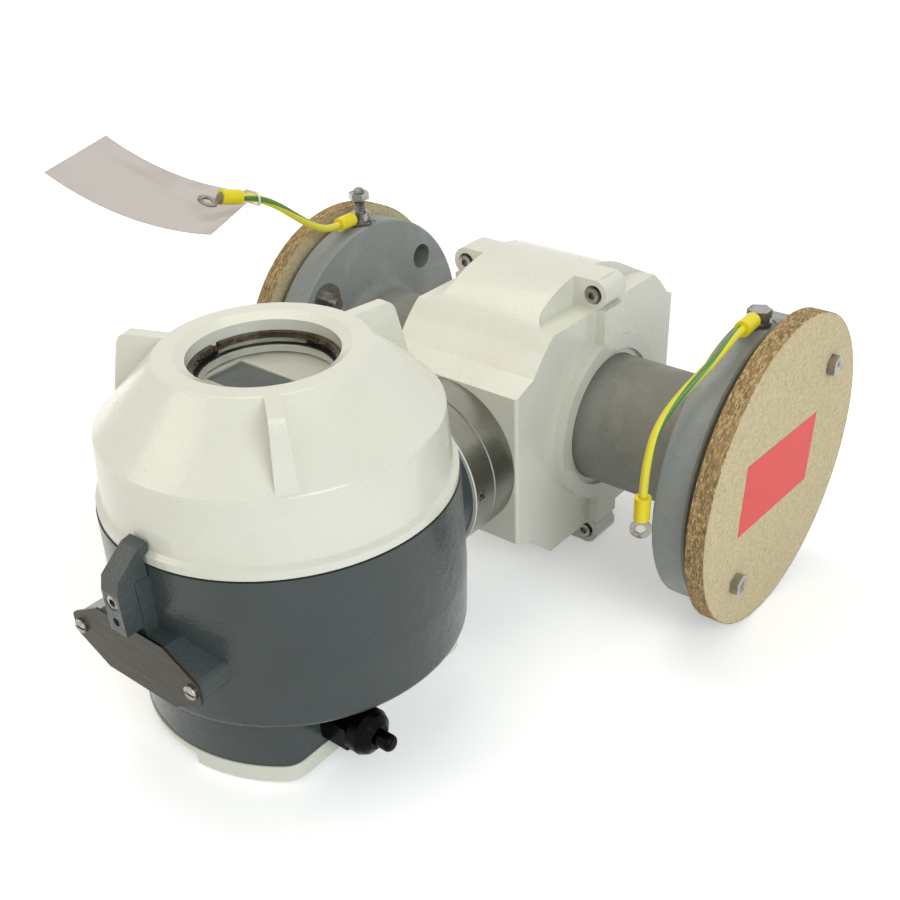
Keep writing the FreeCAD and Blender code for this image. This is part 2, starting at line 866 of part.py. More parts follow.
def grub_slot(clearance):
    """Outline, in X and Z, of a radial hole seen along the neck."""
    angle = math.radians(S.grub_angle.value)
    along = Vector(math.cos(angle), math.sin(angle), 0)
    across = Vector(-along.y, along.x, 0)
    half = S.grub_radius + clearance / 4
    root = S.neck_radius - S.grub_length
    tip = S.neck_radius + 1
    corners = []
    for reach, side in ((root, -1), (tip, -1), (tip, 1), (root, 1)):
        x = reach * along.x + half * (across.x * side)
        z = reach * along.y + half * (across.y * side)
        corners.append((x, z))
    return corners


def neck_grub_screw():
    """Set screw that locks the collar; a hexagon socket opens outwards."""
    radius, length = S.grub_radius.value, S.grub_length.value
    angle = math.radians(S.grub_angle.value)
    outward = Vector(math.cos(angle), 0, math.sin(angle))
    root = Vector(0, -S.grub_station.value, 0) + outward * (S.neck_radius.value - length)
    screw = Part.makeCylinder(radius, length - 0.5, root, outward)
    socket_flats = radius
    ring = [Vector(socket_flats / math.sqrt(3) * math.cos(math.radians(60 * step)),
                   socket_flats / math.sqrt(3) * math.sin(math.radians(60 * step)), 0)
            for step in range(7)]
    key = Part.Face(Part.makePolygon(ring)).extrude(Vector(0, 0, length))
    key.Placement = FreeCAD.Placement(root + outward * (length - 3.5),
                                      FreeCAD.Rotation(Vector(0, 0, 1), outward))
    keep_shape("neck_grub_screw", screw.cut(key))


def neck_gasket():
    body = new_body("neck_gasket")
    lip = S.neck_radius + S.neck_gasket_lip
    spin(body, "Y", [(S.neck_bore_radius, -S.neck_end + S.neck_gasket),
                     (lip, -S.neck_end + S.neck_gasket), (lip, -S.neck_end),
                     (S.neck_bore_radius, -S.neck_end)])


# ---------------------------------------------------------------- transmitter housing

def octagon(inset, x=0, z=0):
    """The badge outline: a long plate whose ends taper and are rounded; inset shrinks it."""
    long = S.plate_half_length - inset
    tall = S.plate_half_height - inset
    end = S.plate_end_half_height - inset / 2
    flat = S.plate_flat_half_length - inset / 2
    turn = math.atan2((long - flat).value, (tall - end).value)
    centre = (long - S.plate_corner, end - S.plate_corner * math.tan(turn / 2))
    quarter = [(centre[0] + S.plate_corner * math.cos(turn * third / 3),
                centre[1] + S.plate_corner * math.sin(turn * third / 3)) for third in range(4)]
    quarter.append((flat, tall))
    corners = []
    for across, up in ((1, 1), (-1, 1), (-1, -1), (1, -1)):
        pair = quarter if across * up > 0 else quarter[::-1]
        for reach, height in pair:
            corners.append((as_size(x) + reach * across, as_size(z) + height * up))
    return corners


def compartment_outline_cut(body, flat, start, end):
    """Cut the two flats off a round slab."""
    wide = S.compartment_radius + 5
    slabs = [((flat * across, -wide), (wide * across, wide)) for across in (1, -1)]
    cut_between(body, "XY_Plane", start, end, rectangles(slabs))


def upright_flat_corner(flat):
    """Pick the upright edges where a flat meets the round of the terminal compartment."""
    def test(edge):
        ends = edge.Vertexes
        if len(ends) != 2 or abs(ends[0].Z - ends[1].Z) < 2:
            return False
        middle = edge.CenterOfMass
        return near(abs(middle.x), flat) and middle.z < S.body_foot.value
    return test


def transmitter_housing():
    body = new_body("transmitter_housing", y=-S.axis_offset)
    spin(body, "Z", [(0, S.body_foot), (S.body_foot_radius, S.body_foot),
                     (S.body_belly_radius, S.body_belly), (S.body_top_radius, S.body_top),
                     (S.spigot_radius, S.body_top), (S.spigot_radius, S.spigot_top),
                     (0, S.spigot_top)])
    round_edges(body, S.foot_round, lambda edge: near(edge.CenterOfMass.z, S.body_foot))
    slab = circles([(0, 0)], S.compartment_radius)
    add_between(body, "XY_Plane", S.body_foot + 1, S.compartment_bottom, slab)
    compartment_outline_cut(body, S.compartment_flat, S.compartment_bottom, S.body_foot)
    round_edges(body, S.compartment_corner, upright_flat_corner(S.compartment_flat))
    boss_face = S.axis_offset - S.neck_end
    boss = circles([(0, 0)], S.neck_boss_radius)
    add_between(body, "XZ_Plane", -S.body_bore_radius, -boss_face, boss)
    box = polygon(octagon(S.box_inset, S.plate_x, S.plate_z))
    add_between(body, "XZ_Plane", S.box_root, S.box_face, box)
    low_x = S.claw_x - S.claw_width / 2
    high_x = S.claw_x + S.claw_width / 2
    block = rectangles([((low_x, S.claw_boss_low), (high_x, S.claw_boss_top))])
    add_between(body, "XZ_Plane", S.box_root, S.claw_boss_face, block)
    # electronics bore, terminal space and the cable passage of the neck
    spin(body, "Z", [(0, S.body_floor), (S.body_bore_radius, S.body_floor),
                     (S.body_bore_radius, S.spigot_top), (0, S.spigot_top)], kind="Groove")
    across = S.compartment_flat - S.compartment_wall
    along = S.compartment_radius - S.compartment_wall * 3
    short = across * 0.62
    space = [(across, -across), (short, -along), (-short, -along), (-across, -across),
             (-across, across), (-short, along), (short, along), (across, across)]
    cut_between(body, "XY_Plane", S.compartment_bottom, S.compartment_roof, polygon(space))
    passage = circles([(0, 0)], S.neck_passage_radius / 2)
    cut_between(body, "XZ_Plane", -boss_face, -S.body_bore_radius + 1, passage)
    entries = [(S.entry_along * side, S.entry_height) for side in (1, -1)]
    entry_hole = circles(entries, S.entry_radius)
    cut_between(body, "YZ_Plane", S.compartment_flat, across - 1, entry_hole)
    screw_line = [(S.claw_x, S.claw_screw_height)]
    cut_between(body, "XZ_Plane", S.claw_boss_face, S.claw_boss_face - S.compartment_wall * 2,
                circles(screw_line, S.claw_screw_radius))
    plate_holes = circles(plate_screw_centres(), S.plate_screw_radius)
    depth = S.plate_screw_length - S.plate_thickness
    cut_between(body, "XZ_Plane", S.box_face, S.box_face - depth, plate_holes)


def plate_screw_centres():
    return [(S.plate_x + S.plate_screw_across * side, S.plate_z) for side in (1, -1)]


def info_plate():
    """Blank plate screwed to the badge box."""
    body = new_body("info_plate", y=-S.axis_offset)
    face = S.box_face + S.plate_thickness
    add_between(body, "XZ_Plane", S.box_face, face, polygon(octagon(0, S.plate_x, S.plate_z)))
    holes = circles(plate_screw_centres(), S.plate_screw_radius + S.screw_clearance)
    cut_between(body, "XZ_Plane", face, S.box_face, holes)


def plate_screws():
    body = new_body("plate_screws", y=-S.axis_offset)
    centres = plate_screw_centres()
    face = S.box_face + S.plate_thickness
    top = face + S.plate_screw_head_height
    shank = circles(centres, S.plate_screw_radius)
    add_between(body, "XZ_Plane", face - S.plate_screw_length, face, shank)
    add_between(body, "XZ_Plane", face, top, circles(centres, S.plate_screw_head_radius))
    round_edges(body, S.plate_screw_head_height * 0.6,
                lambda edge: near(edge.CenterOfMass.y + S.axis_offset.value, -top)
                or near(edge.CenterOfMass.y, -top))
    slot = S.plate_screw_radius * 0.35
    reach = S.plate_screw_head_radius + 1
    slots = [((x - reach, z - slot), (x + reach, z + slot)) for x, z in centres]
    cut_between(body, "XZ_Plane", top, top - S.plate_screw_head_height / 2, rectangles(slots))


def back_cover():
    """Cover of the terminal space, with two raised feet on the gland side."""
    body = new_body("back_cover", y=-S.axis_offset)
    low = S.compartment_bottom - S.back_thickness - S.pad_height
    plate_low = S.compartment_bottom - S.back_thickness
    outline = circles([(0, 0)], S.compartment_radius + S.back_overhang)
    add_between(body, "XY_Plane", S.compartment_bottom, low, outline)
    flat = S.compartment_flat + S.back_overhang
    compartment_outline_cut(body, flat, low, S.compartment_bottom)
    round_edges(body, S.compartment_corner, upright_flat_corner(flat))
    wide = S.compartment_radius + 10
    cleared = [((-wide, -wide), (S.pad_start_x, wide)),
               ((S.pad_start_x, -S.pad_start_y), (wide, S.pad_start_y))]
    for low_corner, high_corner in cleared:
        cut_between(body, "XY_Plane", low, plate_low, rectangles([(low_corner, high_corner)]))
    centres = back_screw_centres()
    holes = circles(centres, S.back_screw_radius + S.screw_clearance)
    cut_between(body, "XY_Plane", low, S.compartment_bottom, holes)
    seats = circles(centres, S.back_screw_head_radius + 1)
    cut_between(body, "XY_Plane", low, plate_low, seats)


def back_screw_centres():
    return [(S.back_screw_across * across, S.back_screw_along * along)
            for across in (1, -1) for along in (1, -1)]


def back_cover_screws():
    """Four cheese-head screws; they clamp the back cover to the casting."""
    body = new_body("back_cover_screws", y=-S.axis_offset)
    seat = S.compartment_bottom - S.back_thickness
    low = seat - S.back_screw_head_height
    centres = back_screw_centres()
    shank = circles(centres, S.back_screw_radius)
    add_between(body, "XY_Plane", S.compartment_bottom + 0.0, seat, shank)
    add_between(body, "XY_Plane", seat, low, circles(centres, S.back_screw_head_radius))
    slot = S.back_screw_radius * 0.3
    reach = S.back_screw_head_radius + 1
    slots = [((x - reach, y - slot), (x + reach, y + slot)) for x, y in centres]
    cut_between(body, "XY_Plane", low, seat - S.back_screw_head_height / 2, rectangles(slots))


# ---------------------------------------------------------------- securing claw

def claw_profile():
    """Side view of the claw in Y and Z about the transmitter's axis."""
    inner = S.claw_boss_face + S.claw_gap
    rim = S.body_top_radius + S.claw_tip_clearance
    tip = S.cover_skirt_foot_radius + S.claw_tip_clearance
    rim_top = cover_rim_top() + S.claw_tip_clearance
    tip_low = rim_top + S.cover_rim_slope
    tip_top = tip_low + S.claw_tip_thickness
    return [(-S.claw_face, S.claw_low), (-S.claw_face, S.claw_shoulder),
            (-S.claw_face + 2, S.claw_brow), (-rim - 2, tip_top - 1),
            (-tip, tip_top), (-tip, tip_low), (-rim, rim_top),
            (-rim, S.claw_boss_top + S.claw_gap), (-inner, S.claw_boss_top + S.claw_gap),
            (-inner, S.claw_low)]


def cover_claw():
    """The claw that hooks over the screw cover's rim."""
    body = new_body("cover_claw", y=-S.axis_offset)
    low_x = S.claw_x - S.claw_width / 2
    add_between(body, "YZ_Plane", low_x, low_x + S.claw_width, polygon(claw_profile()))
    inner = S.claw_boss_face + S.claw_gap
    hole = circles([(S.claw_x, S.claw_screw_height)], S.claw_screw_radius + S.screw_clearance)
    cut_between(body, "XZ_Plane", S.claw_face, inner, hole)
    wide = S.claw_screw_head_radius + S.screw_clearance
    seats = circles([(S.claw_x, S.claw_screw_height)], wide)
    floor = S.claw_face - S.claw_screw_head_height
    cut_between(body, "XZ_Plane", S.claw_face, floor, seats)
    spare = circles([(S.claw_x, S.claw_spare_height)], S.claw_screw_radius)
    cut_between(body, "XZ_Plane", S.claw_face, inner, spare)


def claw_screw():
    body = new_body("claw_screw", y=-S.axis_offset)
    centre = [(S.claw_x, S.claw_screw_height)]
    seat = S.claw_face - S.claw_screw_head_height
    top = S.claw_face - S.claw_gap
    root = S.claw_boss_face - S.compartment_wall
    shank = circles(centre, S.claw_screw_radius - S.screw_clearance / 3)
    add_between(body, "XZ_Plane", root, seat, shank)
    add_between(body, "XZ_Plane", seat, top, circles(centre, S.claw_screw_head_radius))
    key = hexagons(centre, S.claw_screw_head_radius)
    cut_between(body, "XZ_Plane", top, top - S.claw_screw_head_height / 2, key)


# ---------------------------------------------------------------- screw cover and window

def screw_cover():
    """The white screw cover above its rim, with its window opening and three grip fins."""
    body = new_body("screw_cover", y=-S.axis_offset, turn=S.fin_angle)
    thread = S.spigot_radius + S.thread_clearance
    rim_top = cover_rim_top() + S.cover_rim_slope
    spin(body, "Z", [
        (thread, rim_top), (S.cover_skirt_foot_radius, rim_top),
        (S.cover_skirt_radius, S.cover_skirt_top), (S.cover_flat_radius, S.cover_top),
        (S.window_bevel_radius, S.cover_top),
        (S.window_bore_radius, S.cover_top - S.window_bevel_depth),
        (S.window_bore_radius, S.window_ledge_height),
        (S.window_ledge_radius, S.window_ledge_height), (S.window_ledge_radius, S.cover_roof),
        (S.cover_roof_radius, S.cover_roof), (S.cover_wall_radius, S.cover_wall_top),
        (S.cover_wall_radius, S.thread_relief), (thread, S.thread_relief),
    ])
    round_edges(body, S.edge_round, lambda edge: is_rim(edge, S.cover_top, S.cover_flat_radius)
                or is_rim(edge, S.cover_skirt_top, S.cover_skirt_radius))
    fin = fin_wedge(body)
    pattern = body.newObject("PartDesign::PolarPattern", "screw_cover_fins")
    pattern.Originals = [fin]
    pattern.Axis = (origin_feature(body, "Z_Axis"), [""])
    pattern.Angle = 360
    pattern.Occurrences = 3
    body.Tip = pattern
    DOC.recompute()


def cover_rim_top():
    """Height at which the outside of the rim starts to slope in."""
    return S.body_top + S.cover_gap + S.cover_rim_height


def cover_rim():
    """The projecting rim round the cover's foot, which the claw hooks over."""
    body = new_body("cover_rim", y=-S.axis_offset)
    foot = S.body_top + S.cover_gap
    thread = S.spigot_radius + S.thread_clearance
    spin(body, "Z", [
        (thread, foot), (S.cover_rim_radius, foot), (S.cover_rim_radius, cover_rim_top()),
        (S.cover_skirt_foot_radius, cover_rim_top() + S.cover_rim_slope),
        (thread, cover_rim_top() + S.cover_rim_slope),
    ])


def fin_wedge(body):
    """Loft one grip fin, thin along its top and thick where it leaves the cover's slope."""
    foot = S.cover_skirt_top - S.cover_rim_slope
    outer = S.cover_skirt_radius - S.fin_foot_inset
    low = (outer - S.fin_root_depth, outer, S.fin_foot_thickness / 2)
    high = (S.cover_flat_radius - S.fin_foot_inset, S.fin_top_reach, S.fin_top_thickness / 2)
    sketches = []
    for drop, set_back in ((S.cover_top - foot, 0), (S.fin_nose, 0), (S.fin_nose * 0.3, 0.25),
                           (S.fin_nose * 0, 0.8)):
        share = drop / (S.cover_top - foot)
        inner, reach, half = [top + (base - top) * share for base, top in zip(low, high)]
        reach = reach - S.fin_nose * set_back
        sketch = sketch_on(body, "XY_Plane", S.cover_top - drop)
        draw_rectangle(sketch, (inner, -half), (reach, half))
        sketches.append(sketch)
    fin = body.newObject("PartDesign::AdditiveLoft", "screw_cover_fin")
    fin.Profile = sketches[0]
    fin.Sections = sketches[1:]
    fin.Ruled = True
    for sketch in sketches:
        sketch.Visibility = False
    DOC.recompute()
    return fin


def is_rim(edge, height, radius):
    """Is an edge the full circle at this height and radius about the body's axis?"""
    curve = edge.Curve
    return (isinstance(curve, Part.Circle) and near(edge.CenterOfMass.z, height)
            and near(curve.Radius, radius))


def window_parts():
    glass = new_body("window_glass", y=-S.axis_offset)
    low = S.window_ledge_height
    top = low + S.glass_thickness
    disc = circles([(0, 0)], S.window_bore_radius - S.glass_clearance)
    add_between(glass, "XY_Plane", low, top, disc)
    ring = new_body("window_retaining_ring", y=-S.axis_offset)
    outer = S.window_bore_radius - S.glass_clearance / 3
    add_between(ring, "XY_Plane", top, top + S.ring_thickness,
                rings([(0, 0)], outer, S.ring_bore_radius))
    notch = S.ring_thickness * 0.6
    keys = rectangles([((-outer - 1, -notch), (-S.ring_bore_radius + 1, notch)),
                       ((S.ring_bore_radius - 1, -notch), (outer + 1, notch))])
    cut_between(ring, "XY_Plane", top + S.ring_thickness, top + S.ring_thickness / 2, keys)


def cover_gasket():
    body = new_body("cover_gasket", y=-S.axis_offset)
    inner = S.spigot_radius + S.thread_clearance
    add_between(body, "XY_Plane", S.body_top, S.body_top + S.cover_gap - 0.1,
                rings([(0, 0)], S.cover_rim_radius - 1, inner))


# ---------------------------------------------------------------- electronics and terminals

def electronics():
    insert = new_body("electronics_insert", y=-S.axis_offset)
    spin(insert, "Z", [(0, S.body_floor), (S.insert_radius, S.body_floor),
                       (S.insert_radius, S.insert_shoulder), (S.insert_top_radius, S.insert_top),
                       (0, S.insert_top)])
    panel = new_body("display_panel", y=-S.axis_offset)
    top = S.insert_top + S.panel_thickness
    add_between(panel, "XY_Plane", S.insert_top, top, circles([(0, 0)], S.panel_radius))
    low = (S.lcd_x - S.lcd_length / 2, S.lcd_y - S.lcd_width / 2)
    high = (S.lcd_x + S.lcd_length / 2, S.lcd_y + S.lcd_width / 2)
    cut_between(panel, "XY_Plane", top, top - S.lcd_thickness, rectangles([(low, high)]))
    display = new_body("display_glass", y=-S.axis_offset)
    add_between(display, "XY_Plane", top - S.lcd_thickness, top - S.lcd_thickness / 4,
                rectangles([(low, high)]))
    block = new_body("terminal_block", y=-S.axis_offset)
    half_long, half_wide = S.terminal_length / 2, S.terminal_width / 2
    base = S.compartment_roof
    add_between(block, "XY_Plane", base, base - S.terminal_height,
                rectangles([((-half_long, -half_wide), (half_long, half_wide))]))
    pitch = S.terminal_length / 8
    holes = [(pitch * (step - 3.5), 0) for step in range(8)]
    cut_between(block, "XY_Plane", base - S.terminal_height, base - S.terminal_height / 2,
                circles(holes, S.back_screw_radius))


# ---------------------------------------------------------------- cable gland and plug

def entry_body(name, side):
    """A body on the axis of a cable entry, its own origin on the casting's flat."""
    return new_body(name, x=S.compartment_flat, y=-S.axis_offset + S.entry_along * side,
                    z=S.entry_height)


def cable_gland():
    gland = entry_body("gland_body", -1)
    across = S.compartment_wall
    add_between(gland, "YZ_Plane", S.entry_seal, S.gland_hex_length,
                hexagons([(0, 0)], S.gland_flats))
    add_between(gland, "YZ_Plane", -across, S.entry_seal, circles([(0, 0)], S.entry_radius))
    cut_between(gland, "YZ_Plane", S.gland_hex_length, -across,
                circles([(0, 0)], S.gland_stub_radius))
    cap = entry_body("gland_cap_nut", -1)
    start = S.gland_hex_length
    face = start + S.gland_cap_length
    end = face + S.gland_dome_length
    spin(cap, "X", [(S.gland_stub_radius, start), (S.gland_cap_radius, start),
                    (S.gland_cap_radius, face), (S.gland_cap_radius * 0.86, face + S.gland_dome_length / 2),
                    (S.gland_mouth_radius, end), (S.gland_stub_radius, end)])
    stub = entry_body("gland_plug", -1)
    length = end + S.gland_stub_length
    spin(stub, "X", [(0, 0), (S.gland_stub_radius, 0), (S.gland_stub_radius, length),
                     (0, length)])
    round_edges(stub, S.gland_stub_radius * 0.6, lambda edge: near(edge.CenterOfMass.x, length))


def blanking_plug():
    plug = entry_body("blanking_plug", 1)
    add_between(plug, "YZ_Plane", S.entry_seal, S.plug_head, hexagons([(0, 0)], S.plug_flats))
    add_between(plug, "YZ_Plane", -S.compartment_wall, S.entry_seal,
                circles([(0, 0)], S.entry_radius))


def entry_seals():
    body = new_body("entry_seals", x=S.compartment_flat, y=-S.axis_offset, z=S.entry_height)
    centres = [(S.entry_along * side, 0) for side in (1, -1)]
    add_between(body, "YZ_Plane", 0, S.entry_seal,
                rings(centres, S.gland_flats / 2 - 0.5, S.entry_radius))


# ---------------------------------------------------------------- transport discs

def disc_bolt_centres(side):
    """The two opposite flange holes that hold a disc."""
    reach = S.bolt_circle_radius * math.sqrt(0.5)
    return [(reach * sign * side, reach * sign) for sign in (1, -1)]


def transport_disc(name, side):
    body = new_body(name)
    inner = S.flange_face + S.liner_flare_thickness
    outer = inner + S.disc_thickness
    add_between(body, "YZ_Plane", inner * side, outer * side, circles([(0, 0)], S.disc_radius))
    holes = circles(disc_bolt_centres(side), S.disc_bolt_radius + S.disc_hole_clearance)
    cut_between(body, "YZ_Plane", outer * side, inner * side, holes)


def disc_fasteners():
    """Bolts, wide washers and nuts that hold the two discs."""
    outer = S.flange_face + S.liner_flare_thickness + S.disc_thickness
    back = S.flange_face - S.flange_thickness
    washer = back - S.wide_washer_thickness
    nut = washer - S.nut_height
    bolts = new_body("disc_bolts")
    washers = new_body("disc_washers")
    nuts = new_body("disc_nuts")
    for side in (1, -1):
        centres = disc_bolt_centres(side)
        shank = circles(centres, S.disc_bolt_radius)
        add_between(bolts, "YZ_Plane", (nut - S.bolt_end) * side, outer * side, shank)
        head = hexagons(centres, S.bolt_flats)
        add_between(bolts, "YZ_Plane", outer * side, (outer + S.bolt_head_height) * side, head)
        flat = rings(centres, S.wide_washer_radius, S.disc_bolt_radius)
        add_between(washers, "YZ_Plane", washer * side, back * side, flat)
        add_between(nuts, "YZ_Plane", nut * side, washer * side, hexagons(centres, S.bolt_flats))
        cut_between(nuts, "YZ_Plane", nut * side, washer * side,
                    circles(centres, S.disc_bolt_radius))


def red_patch():
    """Plain notice stuck to the near disc."""
    length, height = S.patch_length.value, S.patch_height.value
    sheet = Part.makeBox(S.patch_thickness.value, length, height,
                         Vector(0, -length / 2, -height / 2))
    face = (S.flange_face + S.liner_flare_thickness + S.disc_thickness).value
    place = FreeCAD.Placement(Vector(face, S.patch_y.value, S.patch_z.value),
                              FreeCAD.Rotation(Vector(1, 0, 0), S.patch_angle.value))
    keep_shape("red_notice", sheet, place)


# ---------------------------------------------------------------- earth terminals and leads

def near_earth_terminal():
    station = earth_station(1)
    lug_top = S.earth_seat + S.lug_plate
    washer_top = lug_top + S.earth_washer_thickness
    spring_top = washer_top + S.spring_washer_thickness
    washer = new_body("near_earth_washer", x=station)
    add_between(washer, "XY_Plane", lug_top, washer_top,
                rings([(0, 0)], S.earth_washer_radius, S.disc_bolt_radius))
    spring = new_body("near_spring_washer", x=station)
    add_between(spring, "XY_Plane", washer_top, spring_top,
                rings([(0, 0)], S.spring_washer_radius, S.disc_bolt_radius))
    split = S.spring_washer_thickness * 0.3
    cut_between(spring, "XY_Plane", spring_top, washer_top,
                rectangles([((0, -split), (S.spring_washer_radius + 1, split))]))
    bolt = new_body("near_earth_bolt", x=station)
    add_between(bolt, "XY_Plane", S.earth_seat - S.earth_depth * 0.9, spring_top,
                circles([(0, 0)], S.disc_bolt_radius))
    add_between(bolt, "XY_Plane", spring_top, spring_top + S.bolt_head_height,
                hexagons([(0, 0)], S.bolt_flats))


def far_earth_terminal():
    station = earth_station(-1)
    lug_top = S.earth_seat + S.lug_plate
    washer_top = lug_top + S.earth_washer_thickness
    washer = new_body("far_earth_washer", x=station)
    add_between(washer, "XY_Plane", lug_top, washer_top,
                rings([(0, 0)], S.earth_washer_radius, S.disc_bolt_radius))
    stud = new_body("far_earth_stud", x=station)
    shoulder = S.stud_top - 2.5
    spin(stud, "Z", [(0, S.earth_seat - S.earth_depth * 0.9),
                     (S.disc_bolt_radius, S.earth_seat - S.earth_depth * 0.9),
                     (S.disc_bolt_radius, shoulder), (S.disc_bolt_radius * 0.8, S.stud_top - 1),
                     (S.disc_bolt_radius * 0.4, S.stud_top), (0, S.stud_top)])
    nuts = new_body("far_earth_nuts", x=station)
    spans = [(washer_top, washer_top + S.nut_height),
             (S.upper_nut_height, S.upper_nut_height + S.upper_nut_thickness)]
    for low, high in spans:
        add_between(nuts, "XY_Plane", low, high, hexagons([(0, 0)], S.bolt_flats))
        cut_between(nuts, "XY_Plane", high, low, circles([(0, 0)], S.disc_bolt_radius))


def lug_shape(lift, eye_hole):
    """A crimp lug lying in XY: its eye at the origin and its barrel along +X at the given lift."""
    plate = S.lug_plate.value
    width = S.lug_neck_width.value
    start = S.lug_barrel_start.value
    eye = Part.makeCylinder(S.lug_eye_radius.value, plate)
    tongue = Part.makeBox(start, width, plate, Vector(0, -width / 2, 0))
    ramp = Part.makeBox(plate, width, lift, Vector(start - plate, -width / 2, 0))
    barrel = Part.makeCylinder(S.lug_barrel_radius.value, S.lug_barrel_length.value,
                               Vector(start, 0, lift), Vector(1, 0, 0))
    hole = Part.makeCylinder(eye_hole, plate * 3, Vector(0, 0, -plate))
    return eye.fuse([tongue, ramp, barrel]).removeSplitter().cut(hole)


def crimp_sleeve():
    """Insulating sleeve over a lug's barrel, along +X from the origin."""
    forward = Vector(1, 0, 0)
    depth = S.lug_barrel_start + S.lug_barrel_length - S.sleeve_start
    body = Part.makeCylinder(S.sleeve_radius.value, S.sleeve_length.value, Vector(), forward)
    barrel = Part.makeCylinder(S.lug_barrel_radius.value, depth.value, Vector(), forward)
    return body.cut(barrel)


def aim(origin, forward, up):
    """Place a shape so that its +X runs forward and its +Z leans up."""
    forward = Vector(*forward).normalize()
    side = Vector(*up).cross(forward).normalize()
    lift = forward.cross(side)
    turn = FreeCAD.Rotation(forward, side, lift, "XZY")
    return FreeCAD.Placement(Vector(*origin), turn)


def crimped_end(name, eye, barrel_way, up, lift, eye_hole):
    """A lug with its eye here and its barrel pointing barrel_way, and the sleeve on its barrel."""
    place = aim(eye, barrel_way, up)
    keep_shape(f"{name}_lug", lug_shape(lift.value, eye_hole.value), place)
    sleeve = place.multiply(FreeCAD.Placement(Vector(S.sleeve_start.value, 0, lift.value),
                                              FreeCAD.Rotation()))
    keep_shape(f"{name}_sleeve", crimp_sleeve(), sleeve)


def sleeve_mouth(eye, barrel_way, up, lift):
    """Point at which a cable leaves the sleeve of a lug."""
    reach = S.sleeve_start + S.sleeve_length
    return aim(eye, barrel_way, up).multVec(Vector(reach.value, 0, lift.value))


def free_eye(mouth, before, up, lift):
    """Eye of the lug on a cable that ends at mouth, coming from before."""
    way = (Vector(*before) - Vector(*mouth)).normalize()
    reach = S.sleeve_start + S.sleeve_length
    turned = aim(mouth, way, up)
    return turned.multVec(Vector(-reach.value, 0, -lift.value)), way


def corner_radii(points):
    """Largest tangent arc that each corner of a route allows."""
    radii = []
    for before, corner, after in zip(points, points[1:], points[2:]):
        first, second = corner - before, after - corner
        half_turn = first.getAngle(second) / 2
        radii.append(0.45 * min(first.Length, second.Length) / math.tan(half_turn))
    return radii


def cable(name, route):
    """A cable of straight runs joined by tangent arcs."""
    points = [Vector(*point) for point in route]
    radii = corner_radii(points)
    edges, cursor = [], points[0]
    for corner, after, radius in zip(points[1:], points[2:], radii):
        inward, outward = (cursor - corner).normalize(), (after - corner).normalize()
        half = inward.getAngle(outward) / 2
        trim = radius / math.tan(half)
        start, end = corner + inward * trim, corner + outward * trim
        centre_line = (inward + outward).normalize()
        middle = corner + centre_line * (radius / math.sin(half) - radius)
        edges.append(Part.LineSegment(cursor, start).toShape())
        edges.append(Part.Arc(start, middle, end).toShape())
        cursor = end
    edges.append(Part.LineSegment(cursor, points[-1]).toShape())
    path = Part.Wire(edges)
    radius = S.cable_radius.value
    ring = Part.Wire([Part.Circle(points[0], points[1] - points[0], radius).toShape()])
    solid = path.makePipeShell([ring], True, True)
    expected = math.pi * radius ** 2 * path.Length
    print(f"{name}: length {path.Length:.1f} mm, volume {solid.Volume / expected:.4f} of section"
          f" times length, radii {[round(each, 1) for each in radii]}")
    keep_shape(name, solid)


def earth_lead(name, side, heading, route, free_up):
    """A lead from an earth terminal to its free lug; gives back the cable's points."""
    up = (0, 0, 1)
    eye = (earth_station(side).value, 0, S.earth_seat.value)
    first = sleeve_mouth(eye, heading, up, S.terminal_lift)
    second = first + Vector(*heading).normalize() * S.lead_start.value
    points = [tuple(first), tuple(second)] + route
    cable(f"{name}_earth_lead", points)
    crimped_end(f"{name}_terminal", eye, heading, up, S.terminal_lift,
                S.disc_bolt_radius + S.lug_neck_gap)
    free, way = free_eye(points[-1], points[-2], free_up, S.free_lift)
    crimped_end(f"{name}_free", tuple(free), tuple(way), free_up, S.free_lift, S.free_eye_radius)
    return points


def film_tag():
    """Clear film tag that hangs from the far lead and curls upwards."""
    thickness, radius = S.tag_thickness.value, S.tag_curve_radius.value
    width, length = S.tag_width.value, S.tag_length.value
    sweep = math.degrees(length / radius)
    ring = Part.makeCylinder(radius, width, Vector(0, 0, 0), Vector(0, 0, 1), sweep)
    core = Part.makeCylinder(radius - thickness, width, Vector(0, 0, 0), Vector(0, 0, 1), sweep)
    strip = ring.cut(core)
    strip.rotate(Vector(0, 0, 0), Vector(0, 0, 1), -90)
    strip.translate(Vector(0, radius, 0))
    strip.rotate(Vector(0, 0, 0), Vector(1, 0, 0), 90)
    strip.translate(Vector(0, width, 0))
    inset = S.tag_hole_inset.value
    hole = Part.makeCylinder(S.tag_hole_radius.value, width, Vector(inset, inset, -width / 2))
    strip = strip.cut(hole)
    strip.rotate(Vector(0, 0, 0), Vector(0, 1, 0), -S.tag_pitch.value)
    place = FreeCAD.Placement(Vector(*TAG_CORNER),
                              FreeCAD.Rotation(Vector(0, 0, 1), S.tag_heading.value))
    keep_shape("film_tag", strip, place)


